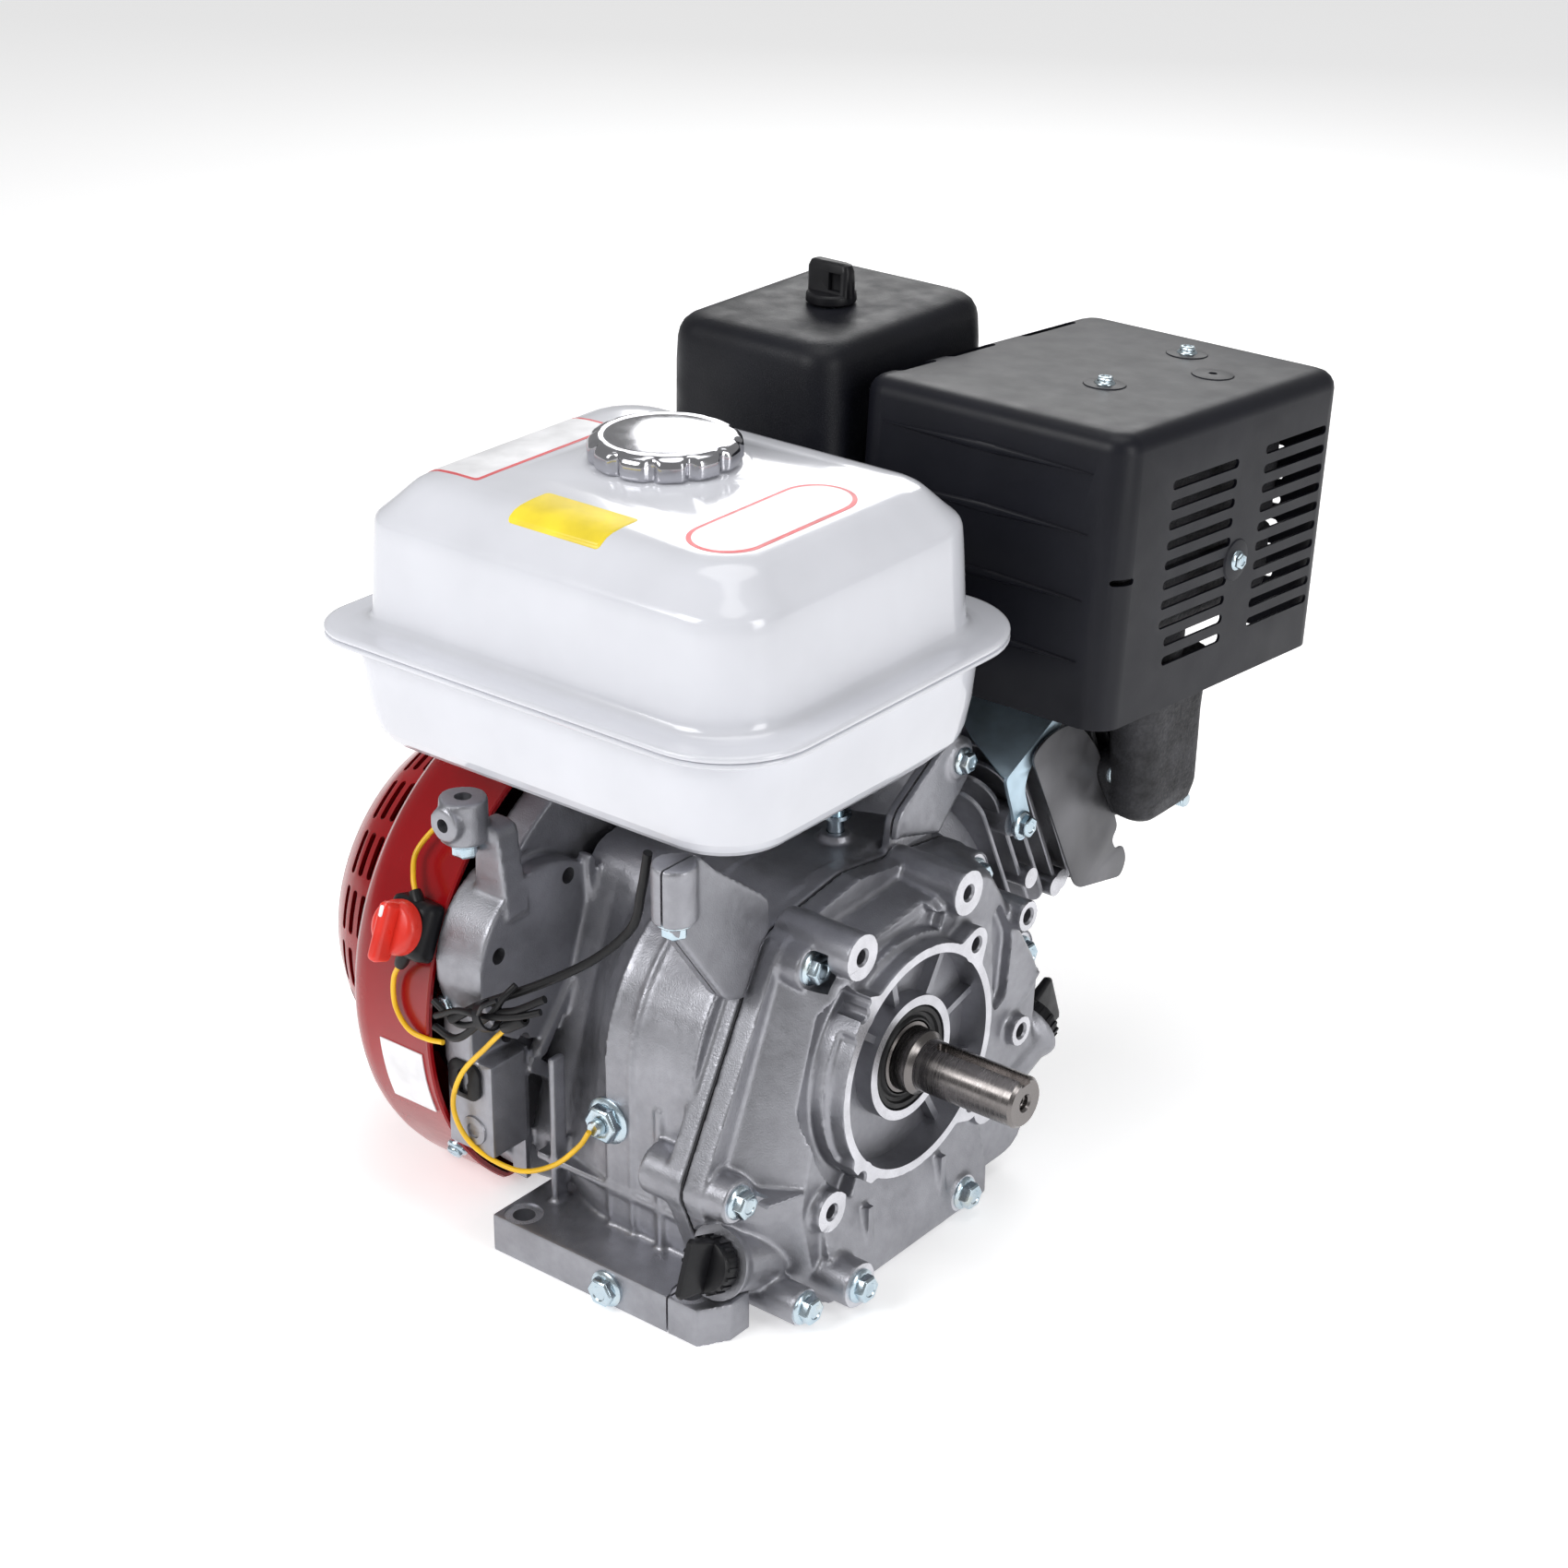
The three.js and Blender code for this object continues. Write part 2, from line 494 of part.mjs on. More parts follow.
function plugFrame() {
  const outward = new THREE.Vector3(-0.5, Math.cos(Math.PI / 6), 0);
  const turn = new THREE.Quaternion().setFromUnitVectors(Z, outward);
  return new THREE.Matrix4().compose(new THREE.Vector3(-22, 176, -26), turn, new THREE.Vector3(1, 1, 1));
}

function cylinderHead() {
  const floor = HEAD_PLANE + 1.5;
  const fins = [];
  for (let s = 200; s < HEAD_END; s += 9) {
    fins.push(plate('y', roundedBox(-66, 66, -64, HEAD_TOP, 10, 2), s, s + FIN_THICKNESS));
  }
  const intake = INTAKE.y * Math.cos(BORE_TILT) + (INTAKE.z - CRANK_Z) * Math.sin(BORE_TILT);
  const intakeT = (INTAKE.z - CRANK_Z) * Math.cos(BORE_TILT) - INTAKE.y * Math.sin(BORE_TILT);
  const body = join(
    plate('y', roundedBox(-56, 56, -56, HEAD_TOP - 4, 12, 3), floor, 192),
    block(-48, 58, 190, HEAD_END, -50, HEAD_TOP - 6),
    ...fins,
    drum('x', PORT.s, PORT.t, 17.5, 40, 70, 16),
    drum('x', intake, intakeT, 15, -66, -40, 16),
  );
  return cut(
    body,
    drum('y', 0, 0, 33, floor - 1, 178, 24),
    drum('x', PORT.s, PORT.t, 14, 52, 72, 12),
    drum('x', intake, intakeT, 10, -68, -52, 12),
    ...[-17, 17].map((x) => drum('y', x, VALVE_T, 3 + GAP, 170, HEAD_END + 1, 12)),
    moved(join(drum('z', 0, 0, 7 + GAP, -10, 90, 16), drum('z', 0, 0, 14, 19, 120, 16)), plugFrame()),
  );
}

const headGasket = () => cut(
  plate('y', roundedBox(-56, 56, -56, HEAD_TOP - 4, 12, 3), HEAD_PLANE, HEAD_PLANE + 1.2),
  drum('y', 0, 0, BORE_R + 1, HEAD_PLANE - 1, HEAD_PLANE + 2, 24),
);

function valveCover() {
  const outline = (inset) => roundedBox(-40 + inset, 56 - inset, -44 + inset, 16 - inset, 10 - inset / 2,
      4);
  const shell = loft('y',
      [[HEAD_END + GAP, outline(0)], [VALVE_COVER_END - 6, outline(1)], [VALVE_COVER_END, outline(7)]]);
  return cut(shell, loft('y', [[HEAD_END - 1, outline(3)], [VALVE_COVER_END - 4, outline(6)]]));
}

const valve = () => turned('y', [[174, 0], [174, 12.5], [177, 12.5], [177.6, 3], [244, 3], [244, 0]], 12);

function sparkPlug() {
  const profile = [[-4, 0], [-4, 5], [4, 6.5], [20, 6.5], [20, 10], [30, 10], [30, 6], [58, 5], [58, 2.5],
      [66, 2.5], [66, 0]];
  return moved(turned('z', profile, 12), plugFrame());
}

function plugCap() {
  const profile = [[33, 7], [33, 10.5], [66, 9.5], [78, 8], [80, 5], [80, 0], [68, 0], [68, 6.5], [33, 7]];
  return moved(turned('z', profile, 12), plugFrame());
}

const sidePlate = () => plate('x', hullOf([[158, 42, 8], [156, 22, 26], [158, -62, 8], [174, -62, 8]], 20),
    72, 73.5);

const cylinderDuct = () => cut(block(-96, -66, 124.5, 164, -60, 50), block(-97, -65, 123, 162, -58, 48));

function mufflerBracket() {
  const top = plate('z', [[12, 212], [12, 168], [34, 152], [70, 133], [70, 196], [56, 212]], 49, 51);
  const tab = plate('x', [[127, 8], [141, 8], [144, 51], [133, 51]], 67, 69.5);
  const side = plate('x', [[134, 41], [196, 47], [196, 51], [133, 51]], 67.5, 70);
  return join(top, tab, side);
}

// ---- Exhaust ----
function exhaustElbow() {
  const [y, z] = [205, 172];
  const flange = plate('x', hullOf([[y, z, 24], [y - 29, z + 13, 10], [y + 29, z - 13, 10]]), 70.4, 80);
  const riser = loft('z',
      [[168, roundedBox(76, 98, 180, 230, 10)], [210, roundedBox(75.5, 102, 172, 230, 10)],
    [240, roundedBox(66, 104, 168, 232, 10)]]);
  const passage = join(drum('x', y, z, 13, 66, 86, 20), drum('z', 84, 202, 12, 168, 242, 20));
  return cut(join(flange, riser), passage);
}

function mufflerBody() {
  const outline = (inset) => roundedBox(-16 + inset, 106 - inset, 14 + inset, 184 - inset, 20, 5);
  const can = loft('z', [[9, outline(6)], [16, outline(0)], [118, outline(0)], [126, outline(6)]]);
  const inside = loft('z', [[11, outline(8)], [17, outline(2)], [117, outline(2)], [124, outline(8)]]);
  return cut(can, inside, drum('z', 84, 102, 12, 0, 20, 20));
}

function mufflerGuard() {
  const [width, depth, height] = [GUARD.x1 - GUARD.x0, GUARD.y1 - GUARD.y0, GUARD.z1 - GUARD.z0];
  const outline = (inset) => roundedBox(GUARD.x0 + inset, GUARD.x0 + width - inset, inset, depth - inset,
      14, 5);
  const outside = loft('z',
      [[0, outline(0)], [height - 8, outline(0)], [height - 2, outline(2.5)], [height, outline(8)]]);
  const inside = loft('z', [[-1, outline(2)], [height - 9, outline(2)], [height - 3, outline(6)]]);
  return cut(outside, inside);
}

// ---- Fuel tank ----
const tankOutline = (inset) => roundedBox(TANK.x0 + inset, TANK.x1 - inset, TANK.y0 + inset,
    TANK.y1 - inset,
  TANK.corner - inset * 0.35, 5);

function fuelTankUpper() {
  const z = TANK_RIM_Z + GAP / 2;
  const outside = join(
    plate('z', tankOutline(0), z, z + 2.5),
    loft('z', [[z, tankOutline(18)], [354, tankOutline(20)], [366, tankOutline(25)],
        [373, tankOutline(36)]]),
    drum('z', FILLER_X, FILLER_Y, 25, 360, 377, 20),
  );
  const inside = loft('z',
      [[z - 1, tankOutline(20)], [353, tankOutline(22)], [365, tankOutline(27)], [371, tankOutline(37)]]);
  return cut(outside, inside, drum('z', FILLER_X, FILLER_Y, 22, 350, 380, 20));
}

function fuelTankLower() {
  const z = TANK_RIM_Z - GAP / 2;
  const slope = (lift) => plate('x', [[30, 180], [140, 180], [140, 286 + lift], [28, 239.5 + lift]],
      TANK.x0 - 5, TANK.x1 + 5);
  const outside = join(
    plate('z', tankOutline(0), z - 2.5, z),
    cut(loft('z', [[240, tankOutline(27)], [245, tankOutline(19)], [254, tankOutline(15)],
        [z, tankOutline(12)]]), slope(0)),
  );
  const inside = cut(loft('z', [[242, tankOutline(28)], [247, tankOutline(21)], [256, tankOutline(17)],
    [z + 1, tankOutline(14)]]), slope(2));
  return cut(outside, inside);
}

function fuelCap() {
  const outline = [];
  for (let i = 0; i < 36; i++) {
    const angle = (2 * Math.PI * i) / 36;
    const radius = 34.5 + 1.6 * Math.cos(12 * angle);
    outline.push([radius * Math.cos(angle), radius * Math.sin(angle)]);
  }
  const smaller = outline.map(([x, y]) => [x * 0.93, y * 0.93]);
  const body = loft('z', [[374, smaller], [376, outline], [384, outline], [387.5, smaller]]);
  return cut(body, drum('z', 0, 0, 27, 373, 379, 20));
}

// ---- Air intake ----
function airCleanerCover() {
  const { x0, x1, y0, y1, z0, z1, corner } = CLEANER;
  const outline = (inset) => roundedBox(x0 + inset, x1 - inset, y0 + inset, y1 - inset, corner, 5);
  const outside = loft('z',
      [[z0 + GAP, outline(0)], [z1 - 12, outline(1.5)], [z1 - 4, outline(5)], [z1, outline(13)]]);
  const inside = loft('z', [[z0 - 1, outline(3)], [z1 - 13, outline(4.5)], [z1 - 3, outline(13)]]);
  return cut(outside, inside, drum('z', KNOB.x, KNOB.y, 3 + GAP, z1 - 10, z1 + 1, 12));
}

function airCleanerBase() {
  const { x0, x1, y0, y1, z0, corner } = CLEANER;
  const tray = plate('z', roundedBox(x0 + 3, x1 - 3, y0 + 3, y1 - 3, corner - 3, 4), 248, z0);
  const elbow = block(-138, -112.4, 180, 210, 204, 250);
  const stud = drum('z', KNOB.x, KNOB.y, 3, 250, CLEANER.z1 + 6, 12);
  const mouth = drum('z', -124, 195, 10, 214, z0 + 1, 16);
  return cut(join(tray, elbow, stud), mouth, drum('x', 195, 219, 10, -124, -112, 16));
}

const filterElement = () => cut(
  plate('z', roundedBox(-134, -50, 106, 223, 14, 4), CLEANER.z0 + GAP, 360),
  plate('z', roundedBox(-122, -62, 118, 211, 8, 4), CLEANER.z0 - 1, 361),
);

const cleanerKnob = () => cut(
  join(drum('z', 0, 0, 11, CLEANER.z1 + GAP, CLEANER.z1 + 7, 20),
      block(-13, 13, -4.5, 4.5, CLEANER.z1 + 3, CLEANER.z1 + 21)),
  drum('z', 0, 0, 3 + GAP, CLEANER.z1 - 1, CLEANER.z1 + 8, 12),
);

const intakeInsulator = () => ring('x', INTAKE.y, INTAKE.z, 15.5, 10, -74.7, -66.4, 16);

function carburetor() {
  const body = block(-112, -75, 179, 211, 203, 236);
  const bowl = drum('z', -94, 195, 16, 180, 205, 20);
  return cut(join(body, bowl), drum('x', INTAKE.y, INTAKE.z, 10.5, -113, -74, 20));
}

// A lever pressed from sheet, lying across the axis it turns about; drawn round its own pivot.
const lever = (axis, length, width, from, to) =>
  plate(axis, hullOf([[0, 0, width / 2], [length, 0, width / 2.6]], 12), from, to);

function controlPlate() {
  const top = plate('z', roundedBox(-82, -22, 84, 112, 5, 3), 226, 228);
  const leg = block(-40, -24, 84, 86, 203, 227);
  const foot = block(-40, -24, 66, 86, 202, 204);
  return join(top, leg, foot);
}

function throttleLever() {
  const arm = block(-66, 4, -4, 4, 228.3, 230.3);
  const grip = block(-70, -56, -6, 6, 228.3, 236);
  return join(arm, grip, drum('z', 0, 0, 7, 228.3, 233, 20));
}

const governorArm = () => join(
  drum('z', 0, 0, 4, 180, 204, 16),
  block(-50, 6, -6, 6, 200, 202),
);

// ---- Flywheel end, in the crankshaft's frame ----
function flywheel() {
  const rim = ring('x', 0, 0, 96, 78, -134, -106, 24);
  const web = ring('x', 0, 0, 80, 15, -134, -126, 20);
  const hub = drum('x', 0, 0, 26, -134, -105, 16);
  return cut(join(rim, web, hub), turned('x', [[-139, 0], [-139, 9.9], [-104, 14.5], [-104, 0]], 16));
}

function coolingFan() {
  const blades = [];
  for (let i = 0; i < FAN_BLADES; i++) {
    const angle = (2 * Math.PI * i) / FAN_BLADES;
    const blade = block(-150, -137, 60, 92, -1.3, 1.3);
    blades.push(moved(blade, new THREE.Matrix4().makeRotationX(angle)));
  }
  return join(ring('x', 0, 0, 96, 48, -137.5, -134.5, 24), ...blades);
}

const starterCup = () => cut(
  drum('x', 0, 0, 42, -176, -136, 24),
  drum('x', 0, 0, 39, -177, -139, 24),
  drum('x', 0, 0, 10.2, -140, -130, 16),
);

function fanShroud() {
  const even = (inset) => evenly(hullOf([[0, CRANK_Z, SHROUD_R - inset], [101.5, 153.3, 56 - inset]], 48),
      [20, 115], 32)
    .map(([y, z]) => [y, Math.max(z, FLOOR_GAP + inset)]);
  const outside = loft('x',
      [[SHROUD_BACK, even(12)], [SHROUD_BACK + 8, even(2)], [SHROUD_BACK + 16, even(0)], [-98.5, even(0)]]);
  const inside = loft('x',
      [[SHROUD_BACK + 2.5, even(13.5)], [SHROUD_BACK + 9, even(4.5)], [SHROUD_BACK + 17, even(2.5)],
      [-97, even(2.5)]]);
  return cut(outside, inside, drum('x', 0, CRANK_Z, 88, -170, -150, 24), switchHole());
}

const pullDirection = THREE.MathUtils.degToRad(50);

// A frame on the crank axis at a given x, its Z axis pointing out at an angle from +Y.
function radialFrame(x, angle) {
  const outward = new THREE.Vector3(0, Math.cos(angle), Math.sin(angle));
  const basis = new THREE.Matrix4().makeBasis(X.clone(), outward.clone().cross(X), outward);
  return new THREE.Matrix4().makeTranslation(x, 0, 0).multiply(basis);
}

const switchHole = () => moved(moved(drum('z', 0, 0, 8, 120, 140, 16),
  radialFrame(SWITCH_X, THREE.MathUtils.degToRad(SWITCH_ANGLE))),
      new THREE.Matrix4().makeTranslation(0, 0, CRANK_Z));

function recoilHousing() {
  const outside = [[-158.4, 98.5], [-158.4, 101], [-166, 101], [-188, 96], [-208, 83], [-220, 66],
      [RECOIL_BACK, 50], [RECOIL_BACK, 0]];
  const inside = [[RECOIL_BACK + 2.5, 0], [RECOIL_BACK + 2.5, 49], [-218, 64.5], [-206, 81], [-187, 93.5],
      [-166, 98.5], [-158.4, 98.5]];
  const shell = turned('x', [...outside, ...inside], 24);
  const post = drum('x', 0, 0, 8, RECOIL_BACK + 1, -190, 12);
  const bush = moved(drum('z', 0, 0, 9, 88, 106, 12), radialFrame(PULL_X, pullDirection));
  const ropeHole = moved(drum('z', 0, 0, 3.4, 60, 110, 8), radialFrame(PULL_X, pullDirection));
  return cut(join(shell, post, bush), ropeHole);
}

const recoilReel = () => cut(
  join(drum('x', 0, 0, 44, -192, -190, 20), drum('x', 0, 0, 36, -202, -190, 20),
      drum('x', 0, 0, 44, -204, -202, 20)),
  drum('x', 0, 0, 8 + GAP, -210, -180, 12),
);

function starterGrip() {
  const bar = plate('x', hullOf([[-33, 122, 9], [33, 122, 9], [0, 134, 10]], 16), -9, 9);
  const stem = drum('z', 0, 0, 8, 106.5, 120, 16);
  return moved(cut(join(bar, stem), drum('z', 0, 0, 3, 105, 124, 12)), radialFrame(PULL_X, pullDirection));
}

const starterRope = () => moved(drum('z', 0, 0, 2.2, 46, 123, 8), radialFrame(PULL_X, pullDirection));

const ignitionCoil = () => moved(block(-13, 13, -22, 22, 101, 120),
  radialFrame(-122, THREE.MathUtils.degToRad(60)));

const switchFrame = () => radialFrame(SWITCH_X, THREE.MathUtils.degToRad(SWITCH_ANGLE));
const switchBody = () => moved(join(block(-12, 12, -13, 13, 131, 143), drum('z', 0, 0, 7.5, 118, 132, 16)),
    switchFrame());
const switchKnob = () => moved(join(drum('z', 0, 0, 13, 143.3, 156, 24), block(-3, 3, -17, 13, 150, 160)),
    switchFrame());

const drainBolt = () => join(plate('y', circle(9.5, 9.5, 8, 6, 30), -134, -127.3),
    drum('y', 9.5, 9.5, 5, -127.5, -112, 12));
const levelSensor = () => join(plate('y', circle(SENSOR.x, SENSOR.z, 10, 6), -106, -98.6),
  drum('y', SENSOR.x, SENSOR.z, 6, -99, -86, 12), drum('y', SENSOR.x, SENSOR.z, 4, -111, -105, 12));

// ---- Leads, each on the route it is clipped to ----
const LEADS = {
  switch_wire: { radius: 1.3, look: 'yellowWire',
      points: [[-101, -100, 195], [-108, -98, 201], [-117, -98, 201],
    [-123, -108, 189], [-118, -116, 180], [-112, -120.3, 173.3]] },
  earth_wire: { radius: 1.3, look: 'yellowWire',
      points: [[-113, -131, 143], [-119, -131, 132], [-118, -132, 118],
    [-110, -132, 108], [-99, -131, 106], [-88, -131, 108]] },
  sensor_wire: { radius: 1.3, look: 'yellowWire',
      points: [[-48, -128, 130], [-62, -128, 114], [-80, -128, 92], [-87, -127, 70],
    [-80, -122, 50], [-58, -116, 42], [-36, -114, 52], [-20, -113, 68], [SENSOR.x, -112.5, SENSOR.z]] },
  black_lead: { radius: 2.2, look: 'rubber',
      points: [[22, -108, 234], [16, -106, 212], [10, -106, 192], [-8, -110, 172],
    [-30, -118, 156], [-52, -126, 143], [-64, -130, 136], [-80, -133, 124]] },
  ignition_lead: { radius: 3, look: 'rubber',
      points: [[-108.5, 66, 204], [-92, 66, 204], [-74, 68, 205], [-58, 92, 213],
    [-50, 118, 224], [-49, 142, 236], [-50, 175, 240], [-52, 204, 241], [-60, 226, 234], [-68, 240, 216],
        [-76, 243, 200]] },
};

// ---- Assembly ----
const gearAngle = Math.atan2(camCentre.z - CRANK_Z, camCentre.y);

add(engine, 'crankcase', crankcase(), 'castAluminium');
add(engine, 'crankcase_cover', crankcaseCover(), 'castAluminium');
add(engine, 'cover_gasket', coverGasket(), 'gasket');
for (const [name, place] of Object.entries(OIL_FILLERS)) {
  const mesh = new THREE.Mesh(toGeometry(oilCap(name === 'dipstick' ? 38 : 16)),
    new THREE.MeshStandardMaterial(LOOKS.blackPlastic));
  mesh.name = name;
  mesh.applyMatrix4(fillerFrame(place));
  engine.add(mesh);
}
add(crankFrame, 'crankshaft', crankshaft(), 'machinedSteel');
add(crankFrame, 'timing_gear', gear(CRANK_TEETH, 48, 56, JOURNAL_R + 0.05 + GAP / 2, gearAngle),
    'machinedSteel');
add(camFrame, 'camshaft', camshaft(gearAngle + Math.PI + Math.PI / (2 * CRANK_TEETH)), 'castIron');
add(crankFrame, 'main_bearing_front', bearing(61.5), 'machinedSteel');
add(crankFrame, 'main_bearing_rear', bearing(-78.5), 'machinedSteel');
add(crankFrame, 'oil_seal_front', oilSeal(80), 'rubber');
add(crankFrame, 'oil_seal_rear', oilSeal(-92), 'rubber');
add(boreFrame, 'cylinder_liner', ring('y', 0, 0, BORE_R + 3.6, BORE_R, 58, HEAD_PLANE - GAP, 24),
    'castIron');
add(boreFrame, 'piston', piston(), 'castAluminium');
add(boreFrame, 'piston_pin', drum('x', ROD_LENGTH + THROW, 0, 9, -33, 33, 20), 'machinedSteel');
add(boreFrame, 'cylinder_head', cylinderHead(), 'darkCasting');
add(boreFrame, 'head_gasket', headGasket(), 'gasket');
add(boreFrame, 'valve_cover', valveCover(), 'castAluminium');
add(boreFrame, 'spark_plug', sparkPlug(), 'ceramic');
add(boreFrame, 'plug_cap', plugCap(), 'rubber');
add(boreFrame, 'side_plate', sidePlate(), 'darkCasting');
add(boreFrame, 'cylinder_duct', cylinderDuct(), 'blackPaint');
add(boreFrame, 'muffler_bracket', mufflerBracket(), 'zincPlate');
for (const [name, x] of [['intake_valve', -17], ['exhaust_valve', 17]]) {
  const mesh = new THREE.Mesh(toGeometry(valve()), new THREE.MeshStandardMaterial(LOOKS.machinedSteel));
  mesh.name = name;
  mesh.position.set(x, 0, VALVE_T);
  boreFrame.add(mesh);
}
add(engine, 'exhaust_elbow', exhaustElbow(), 'castIron');
add(guardFrame, 'muffler_body', mufflerBody(), 'castIron');
add(guardFrame, 'muffler_guard', mufflerGuard(), 'blackPaint');
add(engine, 'fuel_tank_upper', fuelTankUpper(), 'whitePaint');
add(engine, 'fuel_tank_lower', fuelTankLower(), 'whitePaint');
const capFrame = new THREE.Group();
capFrame.position.set(FILLER_X, FILLER_Y, 0);
engine.add(capFrame);
add(capFrame, 'fuel_cap', fuelCap(), 'chrome');
add(engine, 'air_cleaner_cover', airCleanerCover(), 'blackPlastic');
add(engine, 'air_cleaner_base', airCleanerBase(), 'blackPlastic');
add(engine, 'air_filter_element', filterElement(), 'foam');
const knobFrame = new THREE.Group();
knobFrame.position.set(KNOB.x, KNOB.y, 0);
engine.add(knobFrame);
add(knobFrame, 'air_cleaner_knob', cleanerKnob(), 'blackPlastic');
add(engine, 'intake_insulator', intakeInsulator(), 'gasket');
add(engine, 'carburetor', carburetor(), 'castAluminium');
for (const [name, x, z, side] of [['choke_lever', -86, 230, 1], ['fuel_valve_lever', -100, 208, -1]]) {
  const frame = new THREE.Group();
  frame.position.set(x, 211.3, z);
  engine.add(frame);
  add(frame, name, lever('y', side * LEVER_LENGTH, 10, 0, 4), 'blackPlastic');
}
add(engine, 'control_plate', controlPlate(), 'zincPlate');
const throttleFrame = new THREE.Group();
throttleFrame.position.set(-68, 98, 0);
engine.add(throttleFrame);
add(throttleFrame, 'throttle_lever', throttleLever(), 'zincPlate');
const governorFrame = new THREE.Group();
governorFrame.position.set(20, 30, 0);
engine.add(governorFrame);
add(governorFrame, 'governor_arm', governorArm(), 'zincPlate');
add(crankFrame, 'flywheel', flywheel(), 'castIron');
add(crankFrame, 'cooling_fan', coolingFan(), 'blackPlastic');
add(crankFrame, 'starter_cup', starterCup(), 'machinedSteel');
add(crankFrame, 'recoil_housing', recoilHousing(), 'redPaint');
add(crankFrame, 'recoil_reel', recoilReel(), 'blackPlastic');
add(crankFrame, 'starter_grip', starterGrip(), 'blackPlastic');
add(crankFrame, 'starter_rope', starterRope(), 'rope');
add(crankFrame, 'ignition_coil', ignitionCoil(), 'blackPlastic');
add(crankFrame, 'switch_body', switchBody(), 'blackPlastic');
add(crankFrame, 'switch_knob', switchKnob(), 'redPlastic');
add(engine, 'fan_shroud', fanShroud(), 'redPaint');
add(engine, 'drain_bolt', drainBolt(), 'zincPlate');
add(engine, 'oil_level_sensor', levelSensor(), 'zincPlate');
for (const [name, { radius, look, points }] of Object.entries(LEADS)) {
  add(engine, name, lead(points, radius, points.length * 2), look);
}

export default engine;
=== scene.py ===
import math

import bmesh
import bpy
from mathutils import Matrix, Vector


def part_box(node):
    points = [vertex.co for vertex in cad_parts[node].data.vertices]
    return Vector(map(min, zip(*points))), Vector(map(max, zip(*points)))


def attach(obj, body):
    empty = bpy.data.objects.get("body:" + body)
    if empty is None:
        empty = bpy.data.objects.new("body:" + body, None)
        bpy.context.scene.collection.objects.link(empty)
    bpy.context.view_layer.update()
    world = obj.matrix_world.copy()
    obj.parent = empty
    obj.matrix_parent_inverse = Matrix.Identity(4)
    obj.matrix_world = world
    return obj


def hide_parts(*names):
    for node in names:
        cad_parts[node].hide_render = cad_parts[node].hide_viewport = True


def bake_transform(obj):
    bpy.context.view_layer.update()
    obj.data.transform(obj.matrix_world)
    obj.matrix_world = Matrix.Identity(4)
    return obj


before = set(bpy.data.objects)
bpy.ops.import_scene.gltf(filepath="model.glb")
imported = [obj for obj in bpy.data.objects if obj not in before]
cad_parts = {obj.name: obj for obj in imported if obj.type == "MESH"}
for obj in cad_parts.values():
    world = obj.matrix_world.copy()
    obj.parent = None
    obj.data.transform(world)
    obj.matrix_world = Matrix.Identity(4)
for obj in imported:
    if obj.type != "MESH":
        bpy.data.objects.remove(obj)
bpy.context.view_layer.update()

MM = 0.001
ENGINE = "engine"  # the body that everything fixed rides on
scene = bpy.context.scene


def span(node):
    """A CAD node's lowest and highest corners, in millimetres."""
    low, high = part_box(node)
    return low / MM, high / MM


def middle(node):
    low, high = span(node)
    return (low + high) / 2


# ---- Driving places, from the frame ----
CRANK_Z = middle("main_bearing_front").z
BORE_TILT = math.radians(25)
BORE = Matrix.Translation((0, 0, CRANK_Z)) @ Matrix.Rotation(BORE_TILT, 4, "X")
CRANK = Matrix.Translation((0, 0, CRANK_Z))
CASE_FRONT = 46
COVER_BACK = span("crankcase_cover")[0].x
PILOT_FACE = 94.6
COVER_FACE = 85
SHAFT_END = span("crankshaft")[1].x
GUARD_X = [span("muffler_guard")[i].x for i in (0, 1)]
GUARD_TILT = math.radians(-4.5)
GUARD_SIZE = (198, 143)  # depth along Y and height along Z, before the tilt
GUARD = Matrix.Translation((0, 100, 246)) @ Matrix.Rotation(GUARD_TILT, 4, "X")
CAP = Matrix.Translation((middle("fuel_cap").x, middle("fuel_cap").y, 0))
SWITCH_X = -111
SWITCH_ANGLE = math.radians(157)
PULL_X = -197  # where the starter rope leaves its housing
PULL_ANGLE = math.radians(50)


def radial(x, angle):
    """A frame on the crank axis: Z out at an angle from +Y, X along the shaft."""
    return CRANK @ Matrix.Translation((x, 0, 0)) @ Matrix.Rotation(angle - math.pi / 2, 4, "X")


# ---- Outlines: lists of (a, b) ----
def circle(a, b, radius, sides=48, start=0.0):
    steps = [math.radians(start + 360 * i / sides) for i in range(sides)]
    return [(a + radius * math.cos(t), b + radius * math.sin(t)) for t in steps]


def hull(circles, sides=48):
    """The convex outline round circles (a, b, radius)."""
    points = sorted(p for c in circles for p in circle(*c, sides))

    def chain(ordered):
        kept = []
        for p in ordered:
            while len(kept) > 1 and cross(kept[-2], kept[-1], p) < 1e-6:
                kept.pop()
            kept.append(p)
        return kept[:-1]

    def cross(o, p, q):
        return (p[0] - o[0]) * (q[1] - o[1]) - (p[1] - o[1]) * (q[0] - o[0])

    return chain(points) + chain(points[::-1])


def rounded_box(a0, a1, b0, b1, radius, per_corner=8, tight=1.0):
    """A box with round corners; the low-low corner's radius is tight times the others'."""
    small = radius * tight
    corners = [(a1 - radius, b1 - radius, 0, radius), (a0 + radius, b1 - radius, 90, radius),
               (a0 + small, b0 + small, 180, small), (a1 - radius, b0 + radius, 270, radius)]
    outline = []
    for a, b, start, reach in corners:
        for i in range(per_corner):
            t = math.radians(start + 90 * i / (per_corner - 1))
            outline.append((a + reach * math.cos(t), b + reach * math.sin(t)))
    return outline


